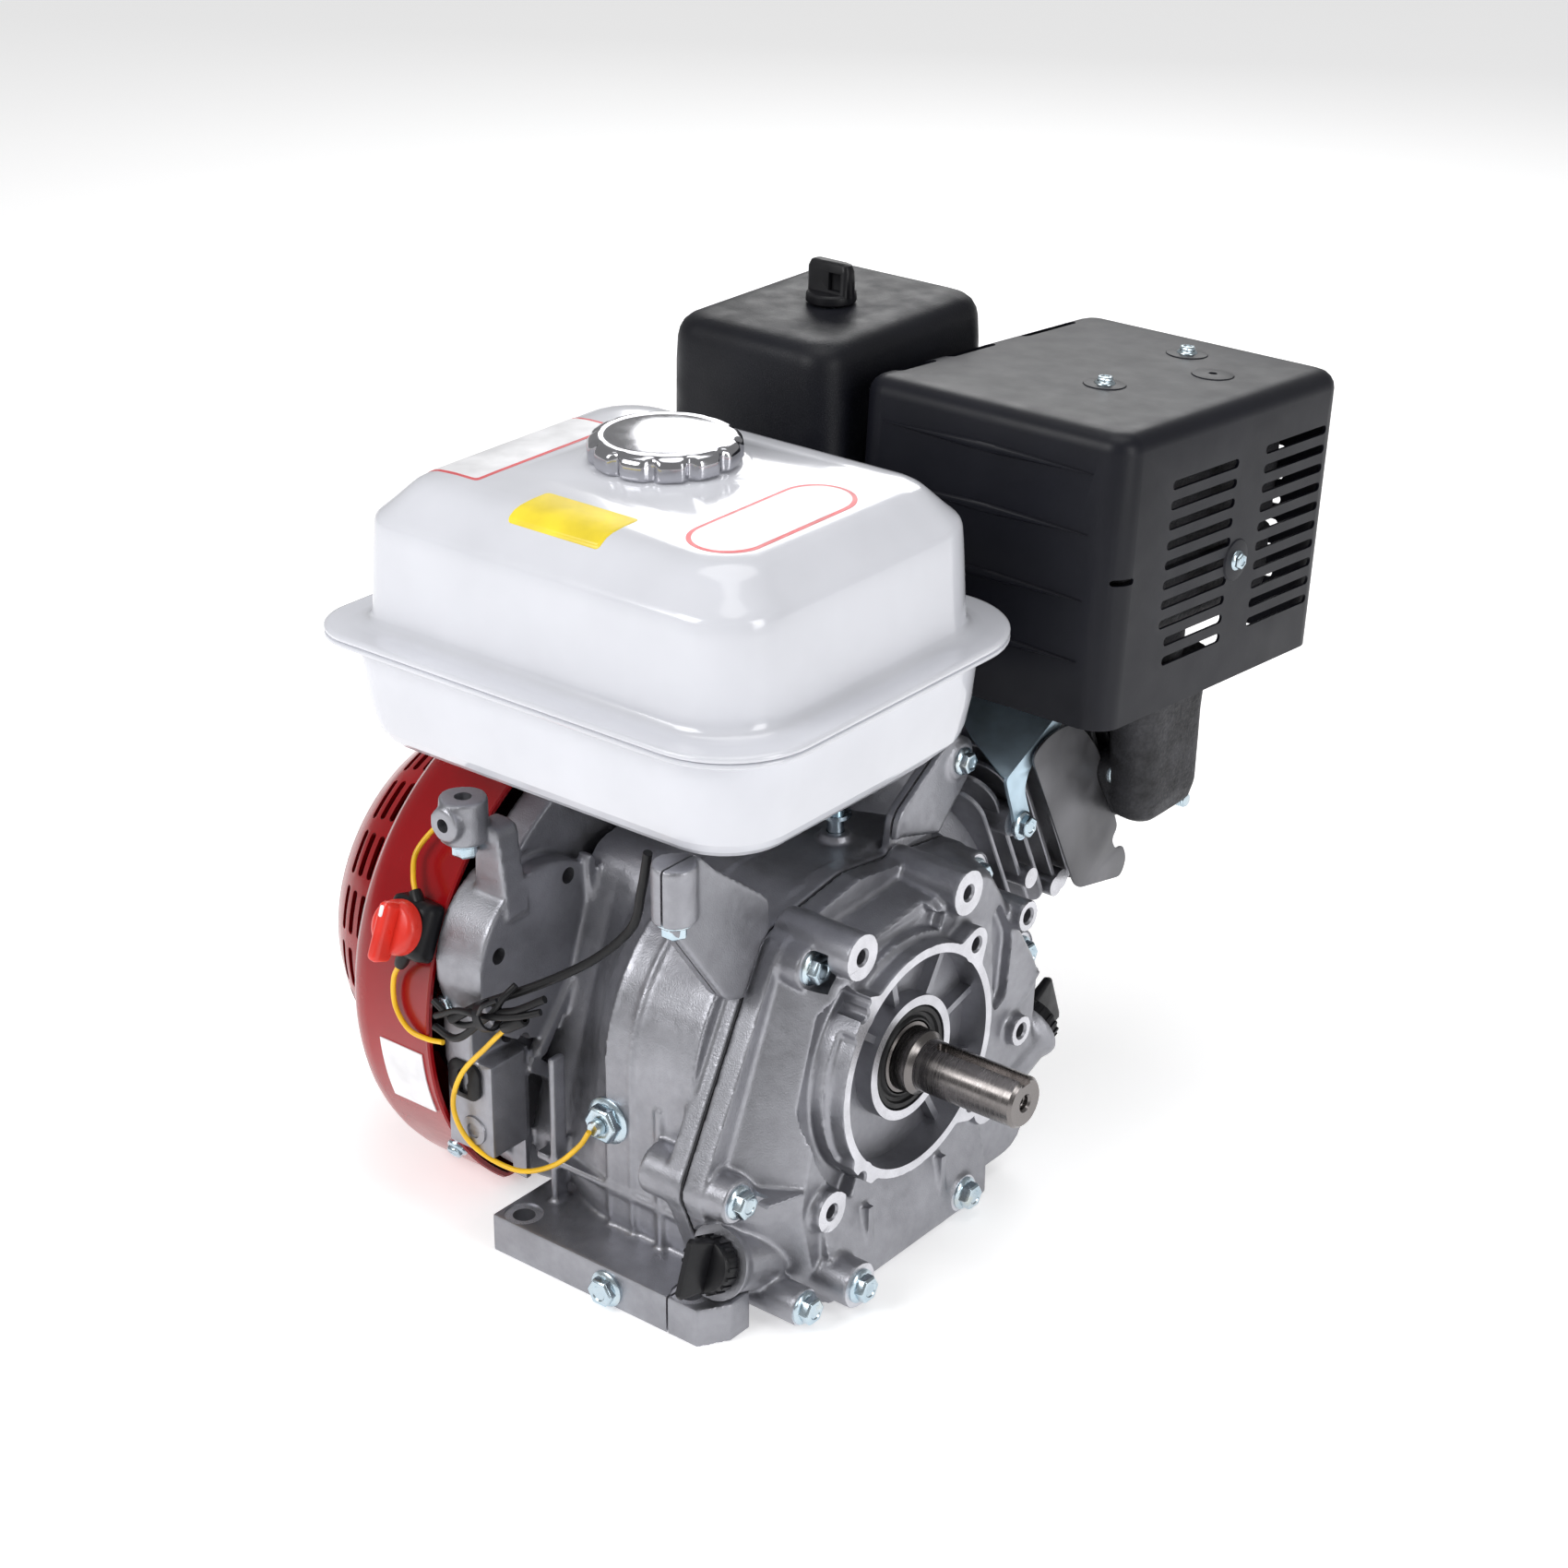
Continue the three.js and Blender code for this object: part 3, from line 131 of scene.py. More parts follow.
def rounded(points, radius, per_corner=5):
    """A polygon with its corners rounded."""
    outline = []
    for i, corner in enumerate(points):
        here = Vector(corner)
        before = Vector(points[i - 1]) - here
        after = Vector(points[(i + 1) % len(points)]) - here
        reach = min(radius, before.length * 0.45, after.length * 0.45)
        start = here + before.normalized() * reach
        end = here + after.normalized() * reach
        for k in range(per_corner):
            t = k / (per_corner - 1)
            outline.append(tuple((1 - t) ** 2 * start + 2 * t * (1 - t) * here + t * t * end))
    return outline


def evenly(outline, centre, count=96):
    """The same number of points round any convex outline, by casting rays from a centre."""
    result = []
    for dx, dy in circle(0, 0, 1, count):
        reach = 0
        for i, (ax, ay) in enumerate(outline):
            bx, by = outline[(i + 1) % len(outline)]
            cross = dx * (by - ay) - dy * (bx - ax)
            if abs(cross) < 1e-9:
                continue
            along = ((ax - centre[0]) * (by - ay) - (ay - centre[1]) * (bx - ax)) / cross
            side = ((ax - centre[0]) * dy - (ay - centre[1]) * dx) / cross
            if along > 0 and -1e-9 <= side <= 1 + 1e-9:
                reach = max(reach, along)
        result.append((centre[0] + dx * reach, centre[1] + dy * reach))
    return result


# ---- Shapes: each returns a new object in the frame ----
def spread(axis, a, b, along):
    return Vector({"x": (along, a, b), "y": (a, along, b), "z": (a, b, along)}[axis])


def finished(bm, place=None, name="shape"):
    bmesh.ops.recalc_face_normals(bm, faces=bm.faces)
    if place:
        bm.transform(place)
    bm.transform(Matrix.Scale(MM, 4))
    mesh = bpy.data.meshes.new(name)
    bm.to_mesh(mesh)
    bm.free()
    obj = bpy.data.objects.new(name, mesh)
    scene.collection.objects.link(obj)
    return obj


def bridge(bm, lower, upper):
    count = len(lower)
    for i in range(count):
        j = (i + 1) % count
        bm.faces.new((lower[i], lower[j], upper[j], upper[i]))


def loft(axis, sections, place=None):
    """A closed solid through outlines with the same number of points: [(along, outline)]."""
    bm = bmesh.new()
    rings = [[bm.verts.new(spread(axis, a, b, along)) for a, b in outline]
             for along, outline in sections]
    for lower, upper in zip(rings, rings[1:]):
        bridge(bm, lower, upper)
    bm.faces.new(rings[0])
    bm.faces.new(rings[-1])
    return finished(bm, place)


def prism(axis, outline, low, high, place=None):
    return loft(axis, [(low, outline), (high, outline)], place)


def drum(axis, a, b, radius, low, high, place=None, sides=48):
    return prism(axis, circle(a, b, radius, sides), low, high, place)


def block(x0, x1, y0, y1, z0, z1, place=None):
    return prism("z", [(x0, y0), (x1, y0), (x1, y1), (x0, y1)], z0, z1, place)


def turned(axis, profile, place=None, sides=64, closed=False):
    """A solid of revolution from (along, radius) points that start and end on the axis, or close."""
    bm = bmesh.new()
    rings = []
    for along, radius in profile:
        if radius < 1e-6:
            rings.append([bm.verts.new(spread(axis, 0, 0, along))])
        else:
            rings.append([bm.verts.new(spread(axis, a, b, along)) for a, b in circle(0, 0, radius, sides)])
    pairs = list(zip(rings, rings[1:])) + ([(rings[-1], rings[0])] if closed else [])
    for lower, upper in pairs:
        if len(lower) == 1 and len(upper) > 1:
            lower, upper = upper, lower
        if len(lower) > 1 and len(upper) == 1:
            for i in range(sides):
                bm.faces.new((lower[i], lower[(i + 1) % sides], upper[0]))
        elif len(lower) > 1:
            bridge(bm, lower, upper)
    return finished(bm, place)


def smooth_path(points, per_span=8):
    """A Catmull-Rom curve through the points."""
    ends = [2 * Vector(points[0]) - Vector(points[1])] + [Vector(p) for p in points]
    ends.append(2 * Vector(points[-1]) - Vector(points[-2]))
    path = []
    for p, q, r, s in zip(ends, ends[1:], ends[2:], ends[3:]):
        for k in range(per_span):
            t = k / per_span
            path.append(0.5 * (2 * q + (r - p) * t + (2 * p - 5 * q + 4 * r - s) * t * t
                               + (3 * q - p - 3 * r + s) * t ** 3))
    return path + [ends[-2]]


def tube(points, radius, sides=14, place=None):
    """A round bar along a path, its ring turned as little as possible from point to point."""
    bm = bmesh.new()
    rings = []
    side = None
    for i, point in enumerate(points):
        ahead = points[min(i + 1, len(points) - 1)] - points[max(i - 1, 0)]
        ahead.normalize()
        side = ahead.orthogonal() if side is None else side - ahead * side.dot(ahead)
        side.normalize()
        up = ahead.cross(side)
        rings.append([bm.verts.new(point + side * a + up * b) for a, b in circle(0, 0, radius, sides)])
    for lower, upper in zip(rings, rings[1:]):
        bridge(bm, lower, upper)
    bm.faces.new(rings[0])
    bm.faces.new(rings[-1])
    return finished(bm, place)


# ---- Joining, cutting and rounding ----
def remove(obj):
    mesh = obj.data
    bpy.data.objects.remove(obj)
    bpy.data.meshes.remove(mesh)


def apply_modifiers(obj):
    graph = bpy.context.evaluated_depsgraph_get()
    mesh = bpy.data.meshes.new_from_object(obj.evaluated_get(graph))
    old = obj.data
    obj.modifiers.clear()
    obj.data = mesh
    bpy.data.meshes.remove(old)
    return obj


def gathered(pieces):
    """Several objects' meshes in one object."""
    bm = bmesh.new()
    for piece in pieces:
        bm.from_mesh(piece.data)
        remove(piece)
    mesh = bpy.data.meshes.new("shape")
    bm.to_mesh(mesh)
    bm.free()
    obj = bpy.data.objects.new("shape", mesh)
    scene.collection.objects.link(obj)
    return obj


def boolean(obj, others, operation):
    for other in others:
        change = obj.modifiers.new("boolean", "BOOLEAN")
        change.object = other
        change.operation = operation
        change.solver = "MANIFOLD"
        apply_modifiers(obj)
        remove(other)
    return obj


def carved(obj, cutters):
    return boolean(obj, cutters, "DIFFERENCE")


def united(obj, others):
    return boolean(obj, others, "UNION")


def softened(obj, voxel, rounds=4):
    """Melts a body's pieces together with cast fillets."""
    remesh = obj.modifiers.new("remesh", "REMESH")
    remesh.mode = "VOXEL"
    remesh.voxel_size = voxel * MM
    soften = obj.modifiers.new("smooth", "SMOOTH")
    soften.factor = 0.5
    soften.iterations = rounds
    return apply_modifiers(obj)


def cast(pieces, voxel, rounds=4, pockets=()):
    """A casting: pieces melted together, then its cast pockets cut and softened too."""
    body = softened(gathered(pieces), voxel, 0)
    if pockets:
        carved(body, pockets)
    return softened(body, voxel, rounds)


def bevelled(obj, width, segments=3, angle=30):
    bevel = obj.modifiers.new("bevel", "BEVEL")
    bevel.width = width * MM
    bevel.segments = segments
    bevel.limit_method = "ANGLE"
    bevel.angle_limit = math.radians(angle)
    bevel.miter_outer = "MITER_ARC"
    bevel.use_clamp_overlap = True
    return apply_modifiers(obj)


def paint(obj, index, test):
    """Gives faces another of the object's materials where test(centre in mm, normal) holds."""
    for face in obj.data.polygons:
        if test(face.center / MM, face.normal):
            face.material_index = index


def shaded(obj, angle=35):
    """Smooth shading that keeps edges sharper than an angle."""
    mesh = obj.data
    mesh.shade_smooth()
    mesh.set_sharp_from_angle(angle=math.radians(angle))
    return obj


def piece(name, obj, body, materials, slot, replaces=(), angle=35):
    """Names a finished shape, gives it its materials and lets it ride on its body."""
    obj.name = name
    obj.data.name = name
    kept = [p.material_index for p in obj.data.polygons]
    obj.data.materials.clear()
    for item in materials if isinstance(materials, (list, tuple)) else [materials]:
        obj.data.materials.append(item)
    obj.data.polygons.foreach_set("material_index", kept)
    shaded(obj, angle)
    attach(obj, body)
    if replaces:
        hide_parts(*replaces)
    return obj


# ---- Materials ----
class Nodes:
    """A short way to write a material's node tree."""

    def __init__(self, name, colour, roughness, metallic=0.0, **constants):
        self.material = bpy.data.materials.new(name)
        self.material.use_nodes = True
        self.tree = self.material.node_tree
        self.shader = self.tree.nodes["Principled BSDF"]
        self.shader.inputs["Base Color"].default_value = (*colour, 1)
        self.shader.inputs["Roughness"].default_value = roughness
        self.shader.inputs["Metallic"].default_value = metallic
        for key, value in constants.items():
            self.shader.inputs[key.replace("_", " ")].default_value = value
        self.colour = colour
        self.where = self.tree.nodes.new("ShaderNodeTexCoord").outputs["Object"]
        self.bump = None

    def add(self, kind, **settings):
        node = self.tree.nodes.new("ShaderNode" + kind)
        for key, value in settings.items():
            setattr(node, key, value)
        return node

    def link(self, source, target):
        self.tree.links.new(source, target)

    def noise(self, size, detail=3.0, stretch=(1, 1, 1), rough=0.5):
        """Noise whose features are about size millimetres across."""
        mapping = self.add("Mapping")
        mapping.inputs["Scale"].default_value = [s / (size * MM) for s in stretch]
        self.link(self.where, mapping.inputs["Vector"])
        noise = self.add("TexNoise")
        noise.inputs["Scale"].default_value = 1
        noise.inputs["Detail"].default_value = detail
        noise.inputs["Roughness"].default_value = rough
        self.link(mapping.outputs["Vector"], noise.inputs["Vector"])
        return noise.outputs["Fac"]

    def ramp(self, value, stops):
        ramp = self.add("ValToRGB")
        elements = ramp.color_ramp.elements
        while len(elements) < len(stops):
            elements.new(0.5)
        for element, (at, colour) in zip(elements, stops):
            element.position = at
            element.color = (*colour, 1) if len(colour) == 3 else colour
        self.link(value, ramp.inputs["Fac"])
        return ramp.outputs["Color"]

    def range(self, value, low, high, new_low, new_high):
        node = self.add("MapRange")
        for key, number in zip(("From Min", "From Max", "To Min", "To Max"),
                               (low, high, new_low, new_high)):
            node.inputs[key].default_value = number
        self.link(value, node.inputs["Value"])
        return node.outputs["Result"]

    def shade(self, value, dark, light=1.0, low=0.35, high=0.65):
        """Colour that drifts between dark and light times the base colour."""
        stops = [(low, [c * dark for c in self.colour]), (high, [min(c * light, 1) for c in self.colour])]
        colour = self.ramp(value, stops)
        self.link(colour, self.shader.inputs["Base Color"])
        return colour

    def mixed(self, factor, first, second):
        mix = self.add("Mix", data_type="RGBA")
        self.link(factor, mix.inputs["Factor"])
        self.link(first, mix.inputs["A"])
        if isinstance(second, (tuple, list)):
            mix.inputs["B"].default_value = (*second, 1)
        else:
            self.link(second, mix.inputs["B"])
        self.link(mix.outputs["Result"], self.shader.inputs["Base Color"])
        return mix.outputs["Result"]

    def rough(self, value, low, high):
        self.link(self.range(value, 0.3, 0.7, low, high), self.shader.inputs["Roughness"])

    def raise_by(self, height, depth, strength=1.0):
        """Adds bump of about depth millimetres."""
        node = self.add("Bump")
        node.inputs["Strength"].default_value = strength
        node.inputs["Distance"].default_value = depth * MM
        self.link(height, node.inputs["Height"])
        if self.bump:
            self.link(self.bump, node.inputs["Normal"])
        self.bump = node.outputs["Normal"]
        self.link(self.bump, self.shader.inputs["Normal"])


def cast_aluminium():
    m = Nodes("cast_aluminium", (0.33, 0.332, 0.36), 0.42, 0.88)
    m.shade(m.noise(34, 6, rough=0.65), 0.86, 1.12)
    m.rough(m.noise(5, 4), 0.34, 0.5)
    m.raise_by(m.noise(0.75, 1), 0.16, 0.7)
    m.raise_by(m.noise(5, 4), 0.10, 0.4)
    return m.material


def machined_aluminium():
    m = Nodes("machined_aluminium", (0.66, 0.66, 0.70), 0.3, 0.85)
    m.shade(m.noise(12, 3), 0.9, 1.08)
    m.rough(m.noise(1.2, 3, (1, 6, 1)), 0.24, 0.4)
    m.raise_by(m.noise(0.8, 2, (1, 9, 1)), 0.03, 0.5)
    return m.material


def dark_casting():
    m = Nodes("dark_casting", (0.155, 0.155, 0.165), 0.5, 0.75)
    m.shade(m.noise(30, 4), 0.65, 1.35)
    m.rough(m.noise(8, 3), 0.42, 0.6)
    m.raise_by(m.noise(1.1, 2), 0.12, 0.6)
    return m.material


def dark_sheet():
    m = Nodes("dark_sheet", (0.15, 0.15, 0.16), 0.45, 0.7)
    m.shade(m.noise(40, 4), 0.7, 1.25)
    m.rough(m.noise(10, 3), 0.36, 0.5)
    m.raise_by(m.noise(1.5, 2), 0.03, 0.5)
    return m.material


def ground_steel():
    m = Nodes("ground_steel", (0.21, 0.195, 0.19), 0.26, 1.0)
    m.shade(m.noise(30, 3, (3, 0.3, 0.3)), 0.85, 1.1)
    m.rough(m.noise(4, 2, (4, 0.2, 0.2)), 0.2, 0.32)
    m.raise_by(m.noise(3, 2, (5, 0.1, 0.1)), 0.01, 0.4)
    return m.material


def zinc_plate():
    m = Nodes("zinc_plate", (0.60, 0.70, 0.77), 0.26, 1.0)
    drift = m.noise(14, 3)
    m.link(m.ramp(drift,
                  [(0.3, (0.46, 0.58, 0.66)), (0.6, (0.56, 0.65, 0.70)), (0.75, (0.64, 0.67, 0.62))]),
           m.shader.inputs["Base Color"])
    m.rough(m.noise(5, 3), 0.2, 0.3)
    m.raise_by(m.noise(4, 2), 0.03, 0.4)
    return m.material


def zinc_sheet():
    m = Nodes("zinc_sheet", (0.52, 0.66, 0.76), 0.42, 0.75)
    m.shade(m.noise(26, 3), 0.8, 1.12)
    m.rough(m.noise(8, 3), 0.34, 0.5)
    m.raise_by(m.noise(9, 2), 0.02, 0.3)
    return m.material


def cast_iron():
    m = Nodes("cast_iron", (0.032, 0.032, 0.036), 0.62, 0.35)
    m.shade(m.noise(12, 4), 0.6, 1.5)
    m.rough(m.noise(2, 3), 0.5, 0.75)
    m.raise_by(m.noise(1.3, 3), 0.35, 0.8)
    return m.material


def paint_coat(name, colour, peel, rough=(0.16, 0.24), drift=(0.96, 1.03), **extra):
    extra = {"Coat_Weight": 0.5, "Coat_Roughness": 0.06, **extra}
    m = Nodes(name, colour, rough[0], 0.0, **extra)
    m.shade(m.noise(60, 3), *drift)
    m.rough(m.noise(20, 3), *rough)
    m.raise_by(m.noise(3.2, 2), peel, 0.4)
    return m.material


def satin_black():
    m = Nodes("satin_black", (0.007, 0.0075, 0.012), 0.4, 0.0, Specular_IOR_Level=0.26)
    m.shade(m.noise(45, 4), 0.9, 1.15)
    m.rough(m.noise(16, 4), 0.38, 0.45)
    m.raise_by(m.noise(0.9, 2), 0.035, 0.6)
    return m.material


def grained_plastic():
    m = Nodes("grained_plastic", (0.006, 0.0065, 0.010), 0.42, 0.0, Specular_IOR_Level=0.26)
    cells = m.add("TexVoronoi", feature="DISTANCE_TO_EDGE")
    cells.inputs["Scale"].default_value = 1 / (1.5 * MM)
    m.link(m.where, cells.inputs["Vector"])
    m.raise_by(m.range(cells.outputs["Distance"], 0.0, 0.25, 0.0, 1.0), 0.06, 0.55)
    m.shade(m.noise(50, 3), 0.85, 1.25)
    m.rough(m.noise(12, 3), 0.38, 0.52)
    return m.material


def moulded(name, colour, rough=(0.32, 0.46), grain=0.03, **extra):
    m = Nodes(name, colour, rough[0], **extra)
    m.shade(m.noise(22, 3), 0.86, 1.1)
    m.rough(m.noise(6, 3), *rough)
    m.raise_by(m.noise(0.8, 2), grain, 0.5)
    return m.material


def chromed():
    m = Nodes("chromed", (0.55, 0.55, 0.58), 0.12, 1.0)
    m.shade(m.noise(20, 3), 0.94, 1.02)
    m.rough(m.noise(7, 4), 0.1, 0.17)
    m.raise_by(m.noise(8, 2), 0.05, 0.25)
    return m.material


def braided():
    m = Nodes("braided", (0.035, 0.035, 0.04), 0.8, Sheen_Weight=0.3)
    weave = m.add("TexWave", wave_type="BANDS", bands_direction="DIAGONAL")
    weave.inputs["Scale"].default_value = 1 / (4.5 * MM)
    m.link(m.where, weave.inputs["Vector"])
    m.shade(weave.outputs["Fac"], 0.6, 1.8, 0.2, 0.8)
    m.raise_by(weave.outputs["Fac"], 0.3, 0.7)
    return m.material


def open_foam():
    m = Nodes("open_foam", (0.30, 0.27, 0.20), 0.95)
    m.shade(m.noise(2, 3), 0.4, 1.3)
    m.raise_by(m.noise(1.6, 2), 0.6, 0.9)
    return m.material


CAST = cast_aluminium()
MACHINED = machined_aluminium()
DARK = dark_casting()
SHEET = dark_sheet()
STEEL = ground_steel()
ZINC = zinc_plate()
IRON = cast_iron()
WHITE = paint_coat("white_paint", (0.70, 0.71, 0.76), 0.02, (0.14, 0.2))
RED = paint_coat("red_paint", (0.30, 0.003, 0.006), 0.02, (0.2, 0.28), (0.85, 1.1), Specular_IOR_Level=0.25,
                 Coat_Weight=0.25)
RED_PLASTIC = moulded("red_plastic", (0.80, 0.035, 0.02), (0.26, 0.38))
BLACK_PAINT = satin_black()
BLACK_GRAIN = grained_plastic()
BLACK_PLASTIC = moulded("black_plastic", (0.008, 0.008, 0.010), Specular_IOR_Level=0.3)
RUBBER = moulded("black_rubber", (0.007, 0.007, 0.008), (0.36, 0.5), 0.05, Specular_IOR_Level=0.3)
CHROME = chromed()
GASKET = moulded("gasket_fibre", (0.045, 0.045, 0.05), (0.75, 0.9), 0.08)
FOAM = open_foam()
YELLOW = moulded("yellow_wire", (0.90, 0.52, 0.01), (0.3, 0.42), 0.02)
ROPE = braided()
CERAMIC = moulded("white_ceramic", (0.83, 0.81, 0.76), (0.14, 0.22), 0.01)
BRASS = moulded("brass", (0.62, 0.42, 0.16), (0.22, 0.34), 0.02)
BRASS.node_tree.nodes["Principled BSDF"].inputs["Metallic"].default_value = 1
ZINC_SHEET = zinc_sheet()
LABEL_WHITE = moulded("label_white", (0.88, 0.88, 0.90), (0.3, 0.4), 0.005)
LABEL_YELLOW = moulded("label_yellow", (0.93, 0.72, 0.04), (0.3, 0.4), 0.005)
LABEL_RED = moulded("label_red", (0.72, 0.09, 0.10), (0.3, 0.4), 0.005)


# ---- Fasteners ----
def aimed(point, direction):
    """A frame at a point, in millimetres, its Z axis along a direction."""
    turn = Vector(direction).normalized().to_track_quat("Z", "Y").to_matrix().to_4x4()
    return Matrix.Translation(point) @ turn


def hex_bolt(place, across=12.0, height=6.0, flange=1.35, dished=True):
    """A hexagon head with its washer flange, sitting at Z = 0 and pointing along +Z."""
    reach = across / math.sqrt(3)
    head = loft("z", [(0.8, circle(0, 0, reach, 6)), (height - 1.1, circle(0, 0, reach, 6)),
                      (height, circle(0, 0, reach * 0.86, 6))])
    bevelled(head, 0.35, 2, 25)
    if dished:
        carved(head, [turned("z",
                             [(height - 0.7, 0), (height - 0.5, across * 0.26), (height + 1, across * 0.40),
                                   (height + 1, 0)], None, 24)])
    rim = across * flange * 0.52
    washer = turned("z", [(-1, 0), (-1, rim), (0.9, rim), (1.5, rim * 0.93), (2.2, reach * 0.9), (2.2, 0)],
                    None, 40)
    united(head, [washer])
    head.data.transform(Matrix.Scale(1 / MM, 4))
    head.data.transform(place)
    head.data.transform(Matrix.Scale(MM, 4))
    return head


def stud_and_nut(place, radius=4.0, length=13.0):
    """A threaded stud with its nut and washer."""
    threads = [(-1, 0), (-1, radius * 0.86)]
    at = 0.0
    while at < length - 1.2:
        threads += [(at, radius * 0.86), (at + 0.5, radius), (at + 1.0, radius * 0.86)]
        at += 1.25
    threads += [(length - 0.4, radius * 0.82), (length, radius * 0.6), (length, 0)]
    stud = turned("z", threads, place, 24)
    nut = loft("z", [(1.6, circle(0, 0, 7.0, 6)), (2.2, circle(0, 0, 7.5, 6)), (7.2, circle(0, 0, 7.5, 6)),
                     (7.8, circle(0, 0, 7.0, 6))], place)
    washer = turned("z", [(-0.5, 0), (-0.5, 8.6), (1.2, 8.6), (1.5, 8.2), (1.5, 0)], place, 32)
    return gathered([stud, nut, washer])


# ---- Camera, floor and light ----
def studio():
    """A pale floor and soft light; the camera stands where the reference view was taken from."""
    camera = bpy.data.objects.new("camera", bpy.data.cameras.new("camera"))
    scene.collection.objects.link(camera)
    azimuth, elevation, roll = (math.radians(a) for a in (38.57, 25.36, 0.34))
    back = Vector((math.sin(azimuth) * math.cos(elevation), -math.cos(azimuth) * math.cos(elevation),
                   math.sin(elevation)))
    turn = back.to_track_quat("Z", "Y") @ Matrix.Rotation(roll, 4, "Z").to_quaternion()
    camera.matrix_world = Matrix.Translation(Vector((851.6, -1052.5,
                                                     863.1)) * MM) @ turn.to_matrix().to_4x4()
    camera.data.sensor_width = 36
    camera.data.lens = 73.2
    camera.data.clip_start = 0.05
    scene.camera = camera

    floor = prism("z", circle(0, 0, 6000, 64), -12, -0.4)
    floor.name = "floor"
    pale = Nodes("pale_floor", (0.985, 0.985, 0.99), 0.6)
    pale.shade(pale.noise(400, 2), 0.99, 1.0)
    pale.shader.inputs["Emission Color"].default_value = (1, 1, 1, 1)
    pale.shader.inputs["Emission Strength"].default_value = 0.42
    floor.data.materials.append(pale.material)

    world = bpy.data.worlds.new("studio")
    world.use_nodes = True
    scene.world = world
    world.node_tree.nodes["Background"].inputs["Color"].default_value = (1, 1, 1, 1)
    world.node_tree.nodes["Background"].inputs["Strength"].default_value = 0.3

    def panel(name, place, target, size, power, colour=(1, 1, 1)):
        lamp = bpy.data.lights.new(name, "AREA")
        lamp.shape = "RECTANGLE"
        lamp.size, lamp.size_y = size
        lamp.energy = power
        lamp.color = colour
        obj = bpy.data.objects.new(name, lamp)
        scene.collection.objects.link(obj)
        aim = (Vector(place) - Vector(target)).to_track_quat("Z", "Y").to_matrix().to_4x4()
        obj.matrix_world = Matrix.Translation(place) @ aim

    panel("key", (-0.6, -1.7, 1.5), (0, 0, 0.2), (1.2, 1.0), 24)
    panel("side", (1.9, -0.1, 0.9), (0, 0, 0.2), (0.6, 1.3), 12)
    panel("top", (0.0, 0.2, 1.9), (0, 0, 0.2), (1.3, 1.3), 10)
    panel("rear", (-1.0, 1.7, 1.2), (0, 0, 0.2), (1.0, 0.8), 9)
    scene.view_settings.view_transform = "Standard"
    scene.view_settings.look = "None"


# ---- Fuel tank ----
TANK_LOW, TANK_HIGH = span("fuel_tank_upper")
RIM_Z = TANK_LOW.z
TANK_CORNER = 45


# The tank's side and rounded top: (height over the rim, inset from the rim's edge)
TANK_TOP = [(45, 19.6), (52, 20.2), (54.2, 20.9), (55.8, 22.2), (57.4, 24), (62, 28.4), (66.5, 32.6),
            (69.2, 35.4),
            (71, 38.4), (72.1, 42.5), (72.8, 50), (73.1, 70), (73.3, 98)]


def tank_outline(inset):
    corner = max(TANK_CORNER - inset * 0.6, 4)
    return rounded_box(TANK_LOW.x + inset, TANK_HIGH.x - inset, TANK_LOW.y + inset, TANK_HIGH.y - inset,
                       corner, 14,
                       0.6)


def tank_upper():
    sections = [(0.1, 1.2), (0.4, 0.3), (1.2, 0), (2.2, 0.1), (2.9, 0.8), (3.1, 2.2), (2.9, 10), (3.3, 14),
                (4.8, 16.6),
                (8, 17.8), (16, 18.2), (34, 19)] + TANK_TOP
    shell = loft("z", [(RIM_Z + z, tank_outline(inset)) for z, inset in sections])
    cap_x, cap_y = middle("fuel_cap").x, middle("fuel_cap").y
    neck = turned("z",
                  [(60, 0), (60, 41), (72.6, 41), (73.4, 39.5), (73.9, 36), (74.1, 30), (74.9, 27.5),
                   (76.9, 27), (76.9, 22),
                        (66, 22), (66, 0)], Matrix.Translation((cap_x, cap_y, RIM_Z)), 64)
    united(shell, [neck])
    inside = loft("z", [(RIM_Z - 1, tank_outline(21)), (RIM_Z + 50, tank_outline(22.5)),
                        (RIM_Z + 62, tank_outline(30)), (RIM_Z + 70, tank_outline(46))])
    opening = drum("z", cap_x, cap_y, 21, RIM_Z + 60, RIM_Z + 80)
    carved(shell, [inside, opening])
    piece("tank_upper_shell", shell, ENGINE, WHITE, "white_paint", ["fuel_tank_upper"], 50)


def tank_lower():
    top = span("fuel_tank_lower")[1].z
    sections = [(-60, 60), (-60, 40), (-59.6, 33), (-58.4, 28), (-56, 23.8), (-52.5, 20.4), (-48, 18),
                (-42, 16.4), (-30, 14.4),
                (-14, 13), (-7, 12.2), (-4.4, 11), (-3.2, 8.5), (-2.9, 5), (-2.7, 1.4), (-2.2, 0.4), (-1.4,
                        0), (-0.4, 0.2),
                (0, 1.0)]
    shell = loft("z", [(top + z, tank_outline(inset)) for z, inset in sections])
    lift = top - 60
    slope = prism("x",
                  [(-12, lift - 70), (150, lift - 70), (150, lift + 74), (84, lift + 36), (62, lift + 17),
                   (-12, lift)],
                  -200, 150)
    bevelled(carved(shell, [slope]), 5, 4, 12)
    inside = loft("z",
                  [(top - 57, tank_outline(32)), (top - 50, tank_outline(22)), (top + 1, tank_outline(15))])
    carved(inside,
           [prism("x", [(-14, lift - 70), (150, lift - 70), (150, lift + 78), (82, lift + 40),
                        (60, lift + 21),
                                 (-14, lift + 4)], -200, 150)])
    carved(shell, [inside])
    piece("tank_lower_shell", shell, ENGINE, WHITE, "white_paint", ["fuel_tank_lower"], 50)


